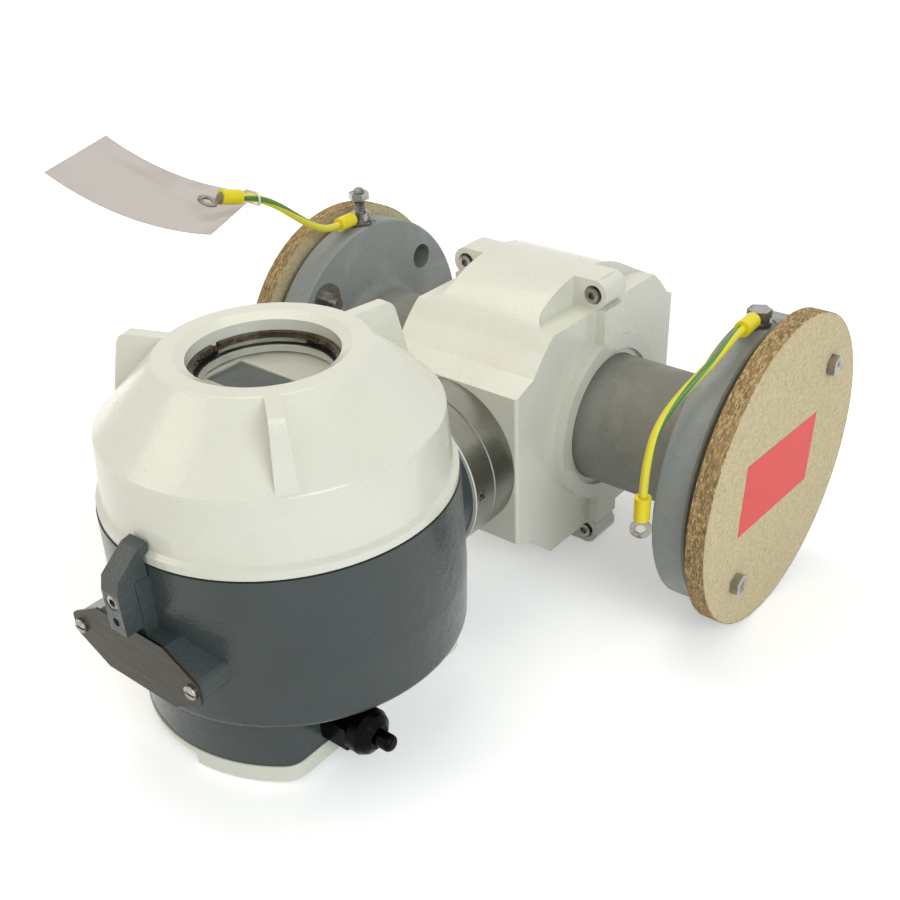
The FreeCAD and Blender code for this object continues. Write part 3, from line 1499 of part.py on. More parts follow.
def tag_tie(points):
    """Loop that ties the tag's corner to the lead."""
    wire = S.tie_radius.value
    half = S.cable_radius.value + wire + S.tie_slack.value
    anchor = (Vector(*points[TIE_RUN]) + Vector(*points[TIE_RUN + 1])) * 0.5
    heading = math.radians(S.tag_heading.value)
    along = Vector(math.cos(heading), math.sin(heading), 0)
    across = Vector(-along.y, along.x, 0)
    hole = Vector(*TAG_CORNER) + (along + across) * S.tag_hole_inset.value
    reach = hole - anchor
    way = Vector(reach).normalize()
    lift = (Vector(0, 0, 1) - way * way.z).normalize()
    far = anchor + way * (reach.Length - half)
    path = Part.Wire([
        Part.Arc(anchor + lift * half, anchor - way * half, anchor - lift * half).toShape(),
        Part.LineSegment(anchor - lift * half, far - lift * half).toShape(),
        Part.Arc(far - lift * half, far + way * half, far + lift * half).toShape(),
        Part.LineSegment(far + lift * half, anchor + lift * half).toShape(),
    ])
    ring = Part.Wire([Part.Circle(anchor + lift * half, way, wire).toShape()])
    keep_shape("tag_tie", path.makePipeShell([ring], True, True))


def build_all():
    """Make every sub-part of the flow meter."""
    measuring_tube()
    flange("near_flange", 1)
    flange("far_flange", -1)
    liner()
    electrodes()
    field_coil("neck_side_coil", -1)
    field_coil("rear_side_coil", 1)
    front_shell()
    rear_shell()
    housing_screws()
    neck_base_ring()
    neck_collar()
    neck_grub_screw()
    neck_gasket()
    transmitter_housing()
    info_plate()
    plate_screws()
    back_cover()
    back_cover_screws()
    cover_claw()
    claw_screw()
    screw_cover()
    cover_rim()
    window_parts()
    cover_gasket()
    electronics()
    cable_gland()
    blanking_plug()
    entry_seals()
    transport_disc("near_disc", 1)
    transport_disc("far_disc", -1)
    disc_fasteners()
    red_patch()
    near_earth_terminal()
    far_earth_terminal()
    earth_lead("near", 1, (0.05, -1, 0), NEAR_ROUTE, (0.5, -0.86, 0))
    far_points = earth_lead("far", -1, (0.03, -1, 0), FAR_ROUTE, (0.3, -0.3, 1))
    film_tag()
    tag_tie(far_points)


def check_and_export():
    """Refuse a failed or empty object, then write one STEP file for each sub-part."""
    DOC.recompute()
    for item in DOC.Objects:
        if "Invalid" in item.State or "Error" in item.State:
            raise RuntimeError(f"{item.Label} did not compute: {item.State}")
    os.makedirs("parts", exist_ok=True)
    for item in PARTS:
        shape = item.Shape
        if shape.isNull() or not shape.isValid() or not shape.Solids:
            raise RuntimeError(f"{item.Label} has no valid shape")
    for item in PARTS:
        item.Shape.exportStep(f"parts/{item.Label}.step")
        box = item.Shape.BoundBox
        print(f"{item.Label}: {len(item.Shape.Solids)} solids, {item.Shape.Volume / 1000:.1f} cm3, "
              f"x {box.XMin:.1f}..{box.XMax:.1f}, y {box.YMin:.1f}..{box.YMax:.1f}, "
              f"z {box.ZMin:.1f}..{box.ZMax:.1f}")


build_all()
check_and_export()
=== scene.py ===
"""Looks of a flanged electromagnetic flow meter with a transmitter on a turning neck.

Lengths are in metres. +X runs along the pipe, the neck along -Y, and the display
faces +Z.
"""
import logging
import math
from dataclasses import dataclass
from enum import Enum
from typing import Callable, Iterable, Optional, Sequence

import bmesh
import bpy
from mathutils import Matrix, Quaternion, Vector


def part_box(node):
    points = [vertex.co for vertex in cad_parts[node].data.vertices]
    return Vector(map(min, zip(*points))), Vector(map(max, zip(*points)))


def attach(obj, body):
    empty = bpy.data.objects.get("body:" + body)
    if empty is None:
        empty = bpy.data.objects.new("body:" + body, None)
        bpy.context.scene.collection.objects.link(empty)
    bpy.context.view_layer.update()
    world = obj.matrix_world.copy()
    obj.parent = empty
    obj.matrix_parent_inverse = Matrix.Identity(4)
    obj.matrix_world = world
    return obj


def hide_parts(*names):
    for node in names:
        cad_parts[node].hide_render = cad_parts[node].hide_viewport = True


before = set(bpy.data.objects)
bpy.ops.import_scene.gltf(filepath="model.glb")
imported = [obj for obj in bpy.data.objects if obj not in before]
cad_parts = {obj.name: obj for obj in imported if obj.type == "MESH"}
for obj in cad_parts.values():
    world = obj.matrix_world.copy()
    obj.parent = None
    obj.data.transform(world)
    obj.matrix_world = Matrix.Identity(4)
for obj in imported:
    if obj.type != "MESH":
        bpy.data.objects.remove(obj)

LOG = logging.getLogger("flow_meter")
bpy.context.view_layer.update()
TINY = 1e-6
WHITE = (1.0, 1.0, 1.0)
CABLE_MAP = "around_along"

Pair = tuple[float, float]
Triple = tuple[float, float, float]
Socket = bpy.types.NodeSocket
Sockets = dict[str, bpy.types.NodeSocket]


def screen_colour(red: float, green: float, blue: float) -> Triple:
    """Turn a colour written from 0 to 255 into the linear values that shaders take.

    Args:
        red: Red as written.
        green: Green as written.
        blue: Blue as written.

    Returns:
        The three linear values.
    """
    def linear(value: float) -> float:
        """Linear value of one channel, by the usual screen curve."""
        share = value / 255
        return share / 12.92 if share <= 0.04045 else ((share + 0.055) / 1.055) ** 2.4

    return linear(red), linear(green), linear(blue)


def add_object(name: str, data: bpy.types.ID) -> bpy.types.Object:
    """Put a mesh, light or camera into the scene as a new object."""
    holder = bpy.data.objects.new(name, data)
    bpy.context.scene.collection.objects.link(holder)
    return holder


# -------------------------------------------------------------------------- node trees


class Wiring:
    """Adds nodes to a tree and joins them by name."""

    def __init__(self, tree: bpy.types.NodeTree) -> None:
        """Take the tree to fill."""
        self.tree = tree

    @classmethod
    def of(cls, owner: bpy.types.ID) -> "Wiring":
        """Start on the emptied tree of a material or a world."""
        owner.use_nodes = True
        owner.node_tree.nodes.clear()
        return cls(owner.node_tree)

    def feed(self, socket: Socket, value: object) -> None:
        """Link a socket to an output, or set its value; a colour gets its alpha here."""
        if isinstance(value, bpy.types.NodeSocket):
            self.tree.links.new(value, socket)
        elif socket.type == "RGBA":
            socket.default_value = (*value, 1.0)
        else:
            socket.default_value = value

    def add(self, kind: str, values: Optional[dict] = None,
            **settings: object) -> bpy.types.Node:
        """Add one node.

        Args:
            kind: The node's type.
            values: Socket name or number to a value, or to the output that feeds it.
            **settings: Settings of the node itself.

        Returns:
            The new node.
        """
        node = self.tree.nodes.new(kind)
        for name, setting in settings.items():
            setattr(node, name, setting)
        for name, value in (values or {}).items():
            self.feed(node.inputs[name], value)
        return node

    def maths(self, operation: str, first: object, second: object = 0.0) -> Socket:
        """Add a maths node and give its result."""
        values = {0: first, 1: second}
        return self.add("ShaderNodeMath", values, operation=operation).outputs[0]

    def times(self, first: object, second: object) -> Socket:
        """Multiply two values."""
        return self.maths("MULTIPLY", first, second)

    def vectors(self, operation: str, first: object, second: object) -> Socket:
        """Add a vector maths node and give its result."""
        values = {0: first, 1: second}
        return self.add("ShaderNodeVectorMath", values, operation=operation).outputs[0]

    def ramp(self, value: object, low: object, high: object,
             to_low: float = 0.0, to_high: float = 1.0) -> Socket:
        """Add a clamped, eased remap of a value and give its result."""
        values = {"Value": value, "From Min": low, "From Max": high,
                  "To Min": to_low, "To Max": to_high}
        node = self.add("ShaderNodeMapRange", values, interpolation_type="SMOOTHSTEP")
        return node.outputs[0]

    def blend(self, mask: object, first: object, second: object,
              share: float = 1.0, kind: str = "RGBA") -> Socket:
        """Mix two colours or vectors by a mask.

        Args:
            mask: How much of the second shows.
            first: Shown where the mask is 0.
            second: Shown where the mask is 1.
            share: Weakens the mask when it is under 1.
            kind: The node's data type.

        Returns:
            The mixed result.
        """
        if share < 1.0:
            mask = self.times(mask, share)
        node = self.add("ShaderNodeMix", data_type=kind)
        sockets = [socket for socket in node.inputs if socket.enabled]
        for socket, value in zip(sockets, (mask, first, second)):
            self.feed(socket, value)
        return next(socket for socket in node.outputs if socket.enabled)

    def place(self) -> Socket:
        """Give the object's own coordinates."""
        return self.add("ShaderNodeTexCoord").outputs["Object"]

    def noise(self, place: object, scale: object,
              **more: float) -> bpy.types.bpy_prop_collection:
        """Add a noise texture and give its outputs."""
        values = {"Vector": place, "Scale": scale, **more}
        return self.add("ShaderNodeTexNoise", values).outputs

    def bump(self, height: object, strength: object, distance: float) -> Socket:
        """Add a bump node and give its normal."""
        values = {"Height": height, "Strength": strength, "Distance": distance}
        return self.add("ShaderNodeBump", values).outputs[0]

    def seen(self) -> Socket:
        """Give 1 where the camera sees a surface, directly, mirrored or through glass."""
        rays = self.add("ShaderNodeLightPath").outputs
        seen = self.maths("MAXIMUM", rays["Is Camera Ray"], rays["Is Glossy Ray"])
        return self.maths("MAXIMUM", seen, rays["Is Transmission Ray"])


class Effect(Enum):
    """Shared effects, each a node group that is built once."""

    PEEL = "paint_peel"
    CAST = "cast_skin"
    TURNED = "turned_lines"
    GRIME = "soft_grime"
    FLAKES = "pressed_flakes"
    AXLE = "about_axis"


class EffectLibrary:
    """Builds the shared node groups on first use."""

    def __init__(self) -> None:
        """Start with no group built, and list each effect's recipe and its inputs."""
        self.groups: dict[Effect, bpy.types.NodeTree] = {}
        self.recipes: dict[Effect, tuple[Callable[[Wiring, Sockets], Sockets], dict]] = {
            Effect.PEEL: (self.peel, {"Waves": 650.0, "Height": 0.25}),
            Effect.CAST: (self.cast, {"Waves": 420.0, "Height": 0.6}),
            Effect.TURNED: (self.turned, {"Stretch": (40.0, 2600.0, 40.0), "Height": 0.2}),
            Effect.GRIME: (self.grime, {"Waves": 14.0, "Cover": 0.5}),
            Effect.FLAKES: (self.flakes, {"Stretch": (300.0, 160.0, 420.0), "Height": 0.5}),
            Effect.AXLE: (self.axle, {"Centre": (0.0, 0.0, 0.0), "Turn": (0.0, 0.0, 0.0)}),
        }

    def get(self, effect: Effect) -> bpy.types.NodeTree:
        """Give an effect's group, building it the first time."""
        if effect not in self.groups:
            self.groups[effect] = self.build(effect)
        return self.groups[effect]

    def build(self, effect: Effect) -> bpy.types.NodeTree:
        """Build an effect's group, with a socket for each input and each result.

        Args:
            effect: The effect to build.

        Returns:
            The new group.
        """
        recipe, defaults = self.recipes[effect]
        tree = bpy.data.node_groups.new(effect.value, "ShaderNodeTree")
        for label, default in defaults.items():
            kind = "NodeSocketVector" if isinstance(default, tuple) else "NodeSocketFloat"
            socket = tree.interface.new_socket(label, in_out="INPUT", socket_type=kind)
            socket.default_value = default
        wiring = Wiring(tree)
        entry = wiring.add("NodeGroupInput").outputs
        results = recipe(wiring, {socket.name: socket for socket in entry if socket.name})
        for label, result in results.items():
            kind = "NodeSocketVector" if result.type == "VECTOR" else "NodeSocketFloat"
            tree.interface.new_socket(label, in_out="OUTPUT", socket_type=kind)
        wiring.add("NodeGroupOutput", results)
        return tree

    @staticmethod
    def peel(wiring: Wiring, given: Sockets) -> Sockets:
        """Orange peel of sprayed paint: a gentle dimpled normal."""
        place = wiring.place()
        fine = wiring.noise(place, given["Waves"], Detail=1.0, Roughness=0.4)[0]
        slow = wiring.noise(place, wiring.times(given["Waves"], 0.16), Detail=1.0)[0]
        height = wiring.maths("ADD", fine, wiring.times(slow, 1.6))
        return {"Normal": wiring.bump(height, given["Height"], 0.0006)}

    @staticmethod
    def cast(wiring: Wiring, given: Sockets) -> Sockets:
        """Sand-cast skin under matt paint: pits, lumps, and a mask of the pits for painted
        shade.
        """
        place = wiring.place()
        lumps = wiring.noise(place, given["Waves"], Detail=6.0, Roughness=0.62)[0]
        scale = wiring.times(given["Waves"], 2.2)
        pits = wiring.add("ShaderNodeTexVoronoi", {"Vector": place, "Scale": scale})
        hollow = wiring.ramp(pits.outputs["Distance"], 0.05, 0.42)
        height = wiring.maths("ADD", lumps, wiring.times(hollow, 0.3))
        return {"Normal": wiring.bump(height, given["Height"], 0.0008),
                "Pits": wiring.maths("SUBTRACT", 1.0, hollow)}

    @staticmethod
    def turned(wiring: Wiring, given: Sockets) -> Sockets:
        """Fine tool lines across one direction, as a normal and a streak mask."""
        spread = wiring.vectors("MULTIPLY", wiring.place(), given["Stretch"])
        noise = wiring.noise(spread, 1.0, Detail=3.0, Roughness=0.6)[0]
        return {"Normal": wiring.bump(noise, given["Height"], 0.0003),
                "Streaks": wiring.ramp(noise, 0.35, 0.7)}

    @staticmethod
    def grime(wiring: Wiring, given: Sockets) -> Sockets:
        """Soft uneven patches of handling and dust."""
        noise = wiring.noise(wiring.place(), given["Waves"], Detail=7.0, Roughness=0.62,
                             Distortion=0.4)[0]
        low = wiring.maths("SUBTRACT", 0.95, given["Cover"])
        return {"Mask": wiring.ramp(noise, low, wiring.maths("ADD", low, 0.25))}

    @staticmethod
    def flakes(wiring: Wiring, given: Sockets) -> Sockets:
        """Pressed chips: a random shade for each, the gaps between, and their relief."""
        spread = wiring.vectors("MULTIPLY", wiring.place(), given["Stretch"])
        bent = wiring.vectors("ADD", spread, wiring.noise(spread, 0.6, Detail=2.0)[1])
        values = {"Vector": bent, "Scale": 1.0}
        chips = wiring.add("ShaderNodeTexVoronoi", values).outputs["Color"]
        edges = wiring.add("ShaderNodeTexVoronoi", values, feature="DISTANCE_TO_EDGE")
        shade = wiring.add("ShaderNodeSeparateColor", {0: chips}).outputs[0]
        gap = wiring.ramp(edges.outputs["Distance"], 0.0, 0.12, 1.0, 0.0)
        fibre = wiring.noise(bent, 5.0, Detail=3.0)[0]
        height = wiring.maths("ADD", wiring.times(shade, 0.8), fibre)
        height = wiring.maths("SUBTRACT", height, wiring.times(gap, 0.8))
        return {"Shade": shade, "Gaps": gap,
                "Normal": wiring.bump(height, given["Height"], 0.0007)}

    @staticmethod
    def axle(wiring: Wiring, given: Sockets) -> Sockets:
        """Radius, angle and station about an axis through Centre, set on Z by Turn."""
        moved = wiring.vectors("SUBTRACT", wiring.place(), given["Centre"])
        values = {"Vector": moved, "Rotation": given["Turn"]}
        turned = wiring.add("ShaderNodeVectorRotate", values, rotation_type="EULER_XYZ")
        parts = wiring.add("ShaderNodeSeparateXYZ", {0: turned.outputs[0]}).outputs
        squares = wiring.maths("ADD", wiring.times(parts[0], parts[0]),
                               wiring.times(parts[1], parts[1]))
        return {"Radius": wiring.maths("SQRT", squares),
                "Angle": wiring.maths("ARCTAN2", parts[1], parts[0]), "Station": parts[2]}


EFFECTS = EffectLibrary()


# -------------------------------------------------------------------------- finishes


@dataclass(frozen=True)
class Finish:
    """Common part of every finish: a name, and the wiring of its surface."""

    name: str

    def wire(self, wiring: Wiring) -> dict:
        """Give the sockets or values of the surface; each finish has its own."""
        raise NotImplementedError(self.name)

    def make(self) -> bpy.types.Material:
        """Build the material."""
        material = bpy.data.materials.new(self.name)
        wiring = Wiring.of(material)
        surface = wiring.add("ShaderNodeBsdfPrincipled", self.wire(wiring))
        wiring.add("ShaderNodeOutputMaterial", {"Surface": surface.outputs[0]})
        return material

    @staticmethod
    def effect(wiring: Wiring, effect: Effect,
               **values: object) -> bpy.types.bpy_prop_collection:
        """Place a shared effect and give its outputs."""
        return wiring.add("ShaderNodeGroup", values, node_tree=EFFECTS.get(effect)).outputs

    @classmethod
    def patches(cls, wiring: Wiring, waves: float, cover: float) -> Socket:
        """Place soft uneven patches and give their mask."""
        return cls.effect(wiring, Effect.GRIME, Waves=waves, Cover=cover)["Mask"]


@dataclass(frozen=True)
class GlossPaint(Finish):
    """Sprayed gloss paint with orange peel and faint handling marks."""

    colour: Triple
    tint: Triple
    roughness: float = 0.22
    waves: float = 650.0
    height: float = 0.22
    coat: float = 0.25
    mirror: float = 0.4

    def wire(self, wiring: Wiring) -> dict:
        """Wire the paint's colour, gloss and peel."""
        tinted = self.patches(wiring, 16.0, 0.52)
        marks = self.patches(wiring, 70.0, 0.40)
        gloss = wiring.ramp(marks, 0.0, 1.0, self.roughness, self.roughness + 0.12)
        peel = self.effect(wiring, Effect.PEEL, Waves=self.waves, Height=self.height)
        return {"Base Color": wiring.blend(tinted, self.colour, self.tint, 0.5),
                "Roughness": gloss, "Normal": peel["Normal"], "Coat Weight": self.coat,
                "Coat Roughness": 0.08, "Specular IOR Level": self.mirror}


@dataclass(frozen=True)
class CastPaint(Finish):
    """Matt paint over a cast or rolled skin, with rubbed and dirty patches, and painted
    shade in the skin's pits.
    """

    colour: Triple
    rubbed: Triple
    # The pits colour is painted shade in the skin's hollows, and also the colour of the
    # dirty specks.
    pits: Triple
    roughness: float = 0.55
    waves: float = 420.0
    height: float = 0.45

    def wire(self, wiring: Wiring) -> dict:
        """Wire the paint's patches, the painted shade in its pits, and its relief."""
        skin = self.effect(wiring, Effect.CAST, Waves=self.waves, Height=self.height)
        worn = self.patches(wiring, 22.0, 0.50)
        specks = self.patches(wiring, 230.0, 0.42)
        colour = wiring.blend(worn, self.colour, self.rubbed, 0.7)
        # Painted shade: the skin's hollows are darkened in colour.
        colour = wiring.blend(skin["Pits"], colour, self.pits, 0.35)
        colour = wiring.blend(specks, colour, self.pits, 0.35)
        gloss = wiring.ramp(worn, 0.0, 1.0, self.roughness, self.roughness - 0.15)
        return {"Base Color": colour, "Roughness": gloss, "Normal": skin["Normal"]}


@dataclass(frozen=True)
class TurnedSteel(Finish):
    """Machined or brushed steel with tool lines across one direction."""

    colour: Triple
    stain: Triple
    stretch: Triple = (40.0, 2600.0, 40.0)
    roughness: float = 0.28
    height: float = 0.16

    def wire(self, wiring: Wiring) -> dict:
        """Wire the steel's lines and stains."""
        lines = self.effect(wiring, Effect.TURNED, Stretch=self.stretch,
                            Height=self.height)
        streaks = lines["Streaks"]
        colour = wiring.blend(streaks, self.colour, self.stain, 0.35)
        colour = wiring.blend(self.patches(wiring, 30.0, 0.46), colour, self.stain, 0.4)
        gloss = wiring.ramp(streaks, 0.0, 1.0, self.roughness, self.roughness + 0.14)
        return {"Base Color": colour, "Roughness": gloss, "Normal": lines["Normal"],
                "Metallic": 1.0}


@dataclass(frozen=True)
class Plating(Finish):
    """Zinc-plated or stainless fasteners, slightly dull and uneven."""

    colour: Triple
    dull: Triple
    roughness: float = 0.26

    def wire(self, wiring: Wiring) -> dict:
        """Wire the plating's cloudy look."""
        clouds = self.patches(wiring, 160.0, 0.5)
        skin = self.effect(wiring, Effect.CAST, Waves=900.0, Height=0.08)
        gloss = wiring.ramp(clouds, 0.0, 1.0, self.roughness, self.roughness + 0.2)
        return {"Base Color": wiring.blend(clouds, self.colour, self.dull),
                "Roughness": gloss, "Normal": skin["Normal"], "Metallic": 1.0}


@dataclass(frozen=True)
class ThreadedRod(Finish):
    """A screw thread on plain rod: a helical ridge about one axis, with painted shade in
    its valleys.
    """

    colour: Triple
    # Colour of the painted shade in the thread's valleys.
    groove_shade: Triple
    centre: Triple
    turn: Triple = (0.0, 0.0, 0.0)
    pitch: float = 0.00125
    start: float = -1.0
    end: float = 1.0
    fade: float = 0.0004

    def wire(self, wiring: Wiring) -> dict:
        """Wire the helix between two stations, where it fades in and out; its valleys get
        painted shade.
        """
        about = self.effect(wiring, Effect.AXLE, Centre=self.centre, Turn=self.turn)
        station = about["Station"]
        lead = wiring.maths("DIVIDE", about["Angle"], 2 * math.pi)
        turns = wiring.maths("ADD", wiring.maths("DIVIDE", station, self.pitch), lead)
        ridge = wiring.maths("PINGPONG", turns, 0.5)
        inside = wiring.ramp(station, self.start, self.start + self.fade)
        before = wiring.ramp(station, self.end - self.fade, self.end, 1.0, 0.0)
        span = wiring.times(inside, before)
        height = wiring.times(wiring.times(ridge, 2.0), span)
        # Painted shade: the thread's valleys get a darker colour on top of their bump.
        low = wiring.times(wiring.maths("SUBTRACT", 1.0, height), span)
        return {"Base Color": wiring.blend(low, self.colour, self.groove_shade, 0.6),
                "Roughness": 0.32, "Normal": wiring.bump(height, 1.0, 0.0006),
                "Metallic": 1.0}


@dataclass(frozen=True)
class Moulding(Finish):
    """Moulded plastic or rubber with a fine grain and small scuffs."""

    colour: Triple
    scuff: Triple
    roughness: float = 0.35
    height: float = 0.12
    waves: float = 1200.0
    mirror: float = 0.5

    def wire(self, wiring: Wiring) -> dict:
        """Wire the plastic's grain and scuffs."""
        scuffs = self.patches(wiring, 90.0, 0.42)
        grain = self.effect(wiring, Effect.PEEL, Waves=self.waves, Height=self.height)
        gloss = wiring.ramp(scuffs, 0.0, 1.0, self.roughness, self.roughness + 0.15)
        return {"Base Color": wiring.blend(scuffs, self.colour, self.scuff, 0.5),
                "Roughness": gloss, "Normal": grain["Normal"],
                "Specular IOR Level": self.mirror}


@dataclass(frozen=True)
class Chipboard(Finish):
    """Sanded chipboard with a sawn rim that shows coarse strands in layers, with painted
    shade in the voids between them.
    """

    face: Triple
    chip: Triple
    resin: Triple
    strand: Triple
    # The gap colour is painted shade for the voids between strands on the sawn rim.
    gap: Triple
    rim_radius: float = 0.1018
    rim_fade: float = 0.0007
    face_stretch: Triple = (500.0, 430.0, 620.0)
    rim_stretch: Triple = (1300.0, 310.0, 350.0)

    def wire(self, wiring: Wiring) -> dict:
        """Wire the fine face and coarse rim, mixed by distance from the pipe's axis."""
        fine = self.effect(wiring, Effect.FLAKES, Stretch=self.face_stretch, Height=0.14)
        coarse = self.effect(wiring, Effect.FLAKES, Stretch=self.rim_stretch, Height=0.8)
        about = self.effect(wiring, Effect.AXLE, Turn=(0.0, math.pi / 2, 0.0))
        rim = wiring.ramp(about["Radius"], self.rim_radius,
                          self.rim_radius + self.rim_fade)
        flat = wiring.blend(fine["Shade"], self.face, self.chip, 0.75)
        flat = wiring.blend(self.patches(wiring, 330.0, 0.43), flat, self.resin, 0.55)
        sawn = wiring.blend(coarse["Shade"], self.strand, self.resin)
        # Painted shade: the gaps between strands are darkened in colour, and so are random
        # patches of the rim.
        sawn = wiring.blend(coarse["Gaps"], sawn, self.gap, 0.4)
        sawn = wiring.blend(self.patches(wiring, 300.0, 0.42), sawn, self.gap, 0.8)
        normal = wiring.blend(rim, fine["Normal"], coarse["Normal"], kind="VECTOR")
        return {"Base Color": wiring.blend(rim, flat, sawn), "Roughness": 0.72,
                "Normal": normal, "Specular IOR Level": 0.25}


@dataclass(frozen=True)
class StripedCable(Finish):
    """Green and yellow insulation, the stripe drifting slowly round the cable."""

    yellow: Triple
    green: Triple
    dust: Triple = (0.35, 0.34, 0.25)
    start: float = 0.02
    share: float = 0.42
    fade: float = 0.03
    drift: float = 5.0

    def wire(self, wiring: Wiring) -> dict:
        """Wire the stripe from the cable's own map: u round it, v along it in metres."""
        mapped = wiring.add("ShaderNodeUVMap", uv_map=CABLE_MAP).outputs[0]
        parts = wiring.add("ShaderNodeSeparateXYZ", {0: mapped}).outputs
        turned = wiring.maths("ADD", parts[0], wiring.times(parts[1], self.drift))
        round_share = wiring.maths("FRACT", turned)
        start = wiring.ramp(round_share, self.start, self.start + self.fade)
        end = wiring.ramp(round_share, self.share, self.share + self.fade, 1.0, 0.0)
        grain = self.effect(wiring, Effect.PEEL, Waves=900.0, Height=0.1)
        colour = wiring.blend(wiring.times(start, end), self.yellow, self.green)
        colour = wiring.blend(self.patches(wiring, 120.0, 0.42), colour, self.dust, 0.15)
        return {"Base Color": colour, "Roughness": 0.38, "Normal": grain["Normal"]}


@dataclass(frozen=True)
class ClearGlass(Finish):
    """Clear window glass, with a trace of dust that roughens it."""

    colour: Triple

    def wire(self, wiring: Wiring) -> dict:
        """Wire the glass."""
        dust = self.patches(wiring, 60.0, 0.42)
        return {"Base Color": self.colour, "Transmission Weight": 1.0, "IOR": 1.25,
                "Roughness": wiring.ramp(dust, 0.0, 1.0, 0.01, 0.05)}


@dataclass(frozen=True)
class CloudyFilm(Finish):
    """Thin milky film that lets light through and shines in streaks."""

    colour: Triple
    haze: Triple
    alpha: float = 0.82
    stretch: Triple = (8.0, 60.0, 8.0)

    def wire(self, wiring: Wiring) -> dict:
        """Wire the film's streaks and its alpha."""
        streaks = self.effect(wiring, Effect.TURNED, Stretch=self.stretch, Height=0.25)
        clouds = self.patches(wiring, 18.0, 0.5)
        return {"Base Color": wiring.blend(clouds, self.colour, self.haze, 0.6),
                "Roughness": 0.22, "Normal": streaks["Normal"], "Alpha": self.alpha,
                "Transmission Weight": 0.25, "IOR": 1.3}


class Palette:
    """All finishes of the flow meter, made once each."""

    def __init__(self) -> None:
        """Build every material."""
        rgb = screen_colour
        steel, dull = rgb(166, 164, 158), rgb(104, 101, 93)
        low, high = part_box("far_earth_stud")
        stud = ((low[0] + high[0]) / 2, 0.0, 0.0)
        finishes = [
            GlossPaint("white_gloss_paint", rgb(222, 221, 208), rgb(215, 212, 198),
                       height=0.34),
            GlossPaint("grey_gloss_paint", rgb(66, 73, 73), rgb(59, 65, 65),
                       waves=780.0, height=0.42, coat=0.1, mirror=0.28),
            # The third colour of each cast paint is painted shade in its pits, and also the
            # colour of its dirty specks.
            CastPaint("grey_flange_paint", rgb(141, 145, 143), rgb(158, 160, 156),
                      rgb(104, 106, 102)),
            CastPaint("grey_tube_paint", rgb(140, 139, 130), rgb(156, 155, 147),
                      rgb(102, 100, 92), roughness=0.68, waves=700.0, height=0.55),
            TurnedSteel("turned_neck_steel", rgb(150, 149, 140), rgb(112, 107, 96)),
            TurnedSteel("brushed_plate", rgb(60, 57, 48), rgb(50, 47, 39),
                        stretch=(60.0, 60.0, 2400.0), roughness=0.30, height=0.08),
            Plating("bright_plating", steel, dull),
            Plating("crimped_tin", rgb(158, 154, 144), rgb(116, 108, 95), roughness=0.32),
            Plating("dark_ring", rgb(104, 91, 81), rgb(66, 57, 49)),
            # rgb(70, 68, 62) is the painted shade in the stud's thread valleys.
            ThreadedRod("threaded_stud", steel, rgb(70, 68, 62), stud,
                        start=0.1035, end=0.1215),
            Moulding("black_gloss_plastic", rgb(4, 4, 5), rgb(10, 10, 11),
                     roughness=0.18, height=0.05, mirror=0.08),
            Moulding("black_rubber", rgb(24, 24, 25), rgb(50, 50, 50), roughness=0.6),
            Moulding("white_plastic", rgb(226, 225, 218), rgb(205, 202, 190),
                     roughness=0.4),
            Moulding("yellow_sleeve_plastic", rgb(236, 214, 18), rgb(214, 186, 16),
                     roughness=0.3, height=0.1),
            Moulding("panel_plastic", rgb(196, 192, 176), rgb(184, 180, 164),
                     roughness=0.42),
            Moulding("display_face", rgb(46, 55, 40), rgb(38, 46, 34),
                     roughness=0.5, height=0.02, mirror=0.04),
            Moulding("display_ink", rgb(24, 29, 22), rgb(30, 35, 28),
                     roughness=0.5, height=0.02, mirror=0.04),
            Moulding("red_notice_film", rgb(220, 58, 54), rgb(210, 70, 62),
                     roughness=0.5, height=0.06),
            Moulding("liner_polymer", rgb(226, 224, 214), rgb(206, 202, 188),
                     roughness=0.45),
            Moulding("copper_winding", rgb(170, 104, 64), rgb(120, 70, 44),
                     roughness=0.4, height=0.4),
            Moulding("cord_white", rgb(226, 224, 214), rgb(196, 192, 180),
                     roughness=0.5),
            # The last chipboard colour is painted shade for the voids on the sawn rim.
            Chipboard("chipboard", rgb(208, 193, 158), rgb(184, 167, 130),
                      rgb(146, 118, 78), rgb(230, 198, 144), rgb(100, 68, 38)),
            StripedCable("earth_cable", rgb(228, 214, 62), rgb(80, 130, 58), share=0.24),
            ClearGlass("window_glass", rgb(250, 252, 250)),
            CloudyFilm("milky_film", rgb(204, 197, 192), rgb(186, 178, 172)),
        ]
        self.materials = {finish.name: finish.make() for finish in finishes}

    def __getitem__(self, name: str) -> bpy.types.Material:
        """Give a material by its finish name."""
        return self.materials[name]


# -------------------------------------------------------------------------- mesh pieces


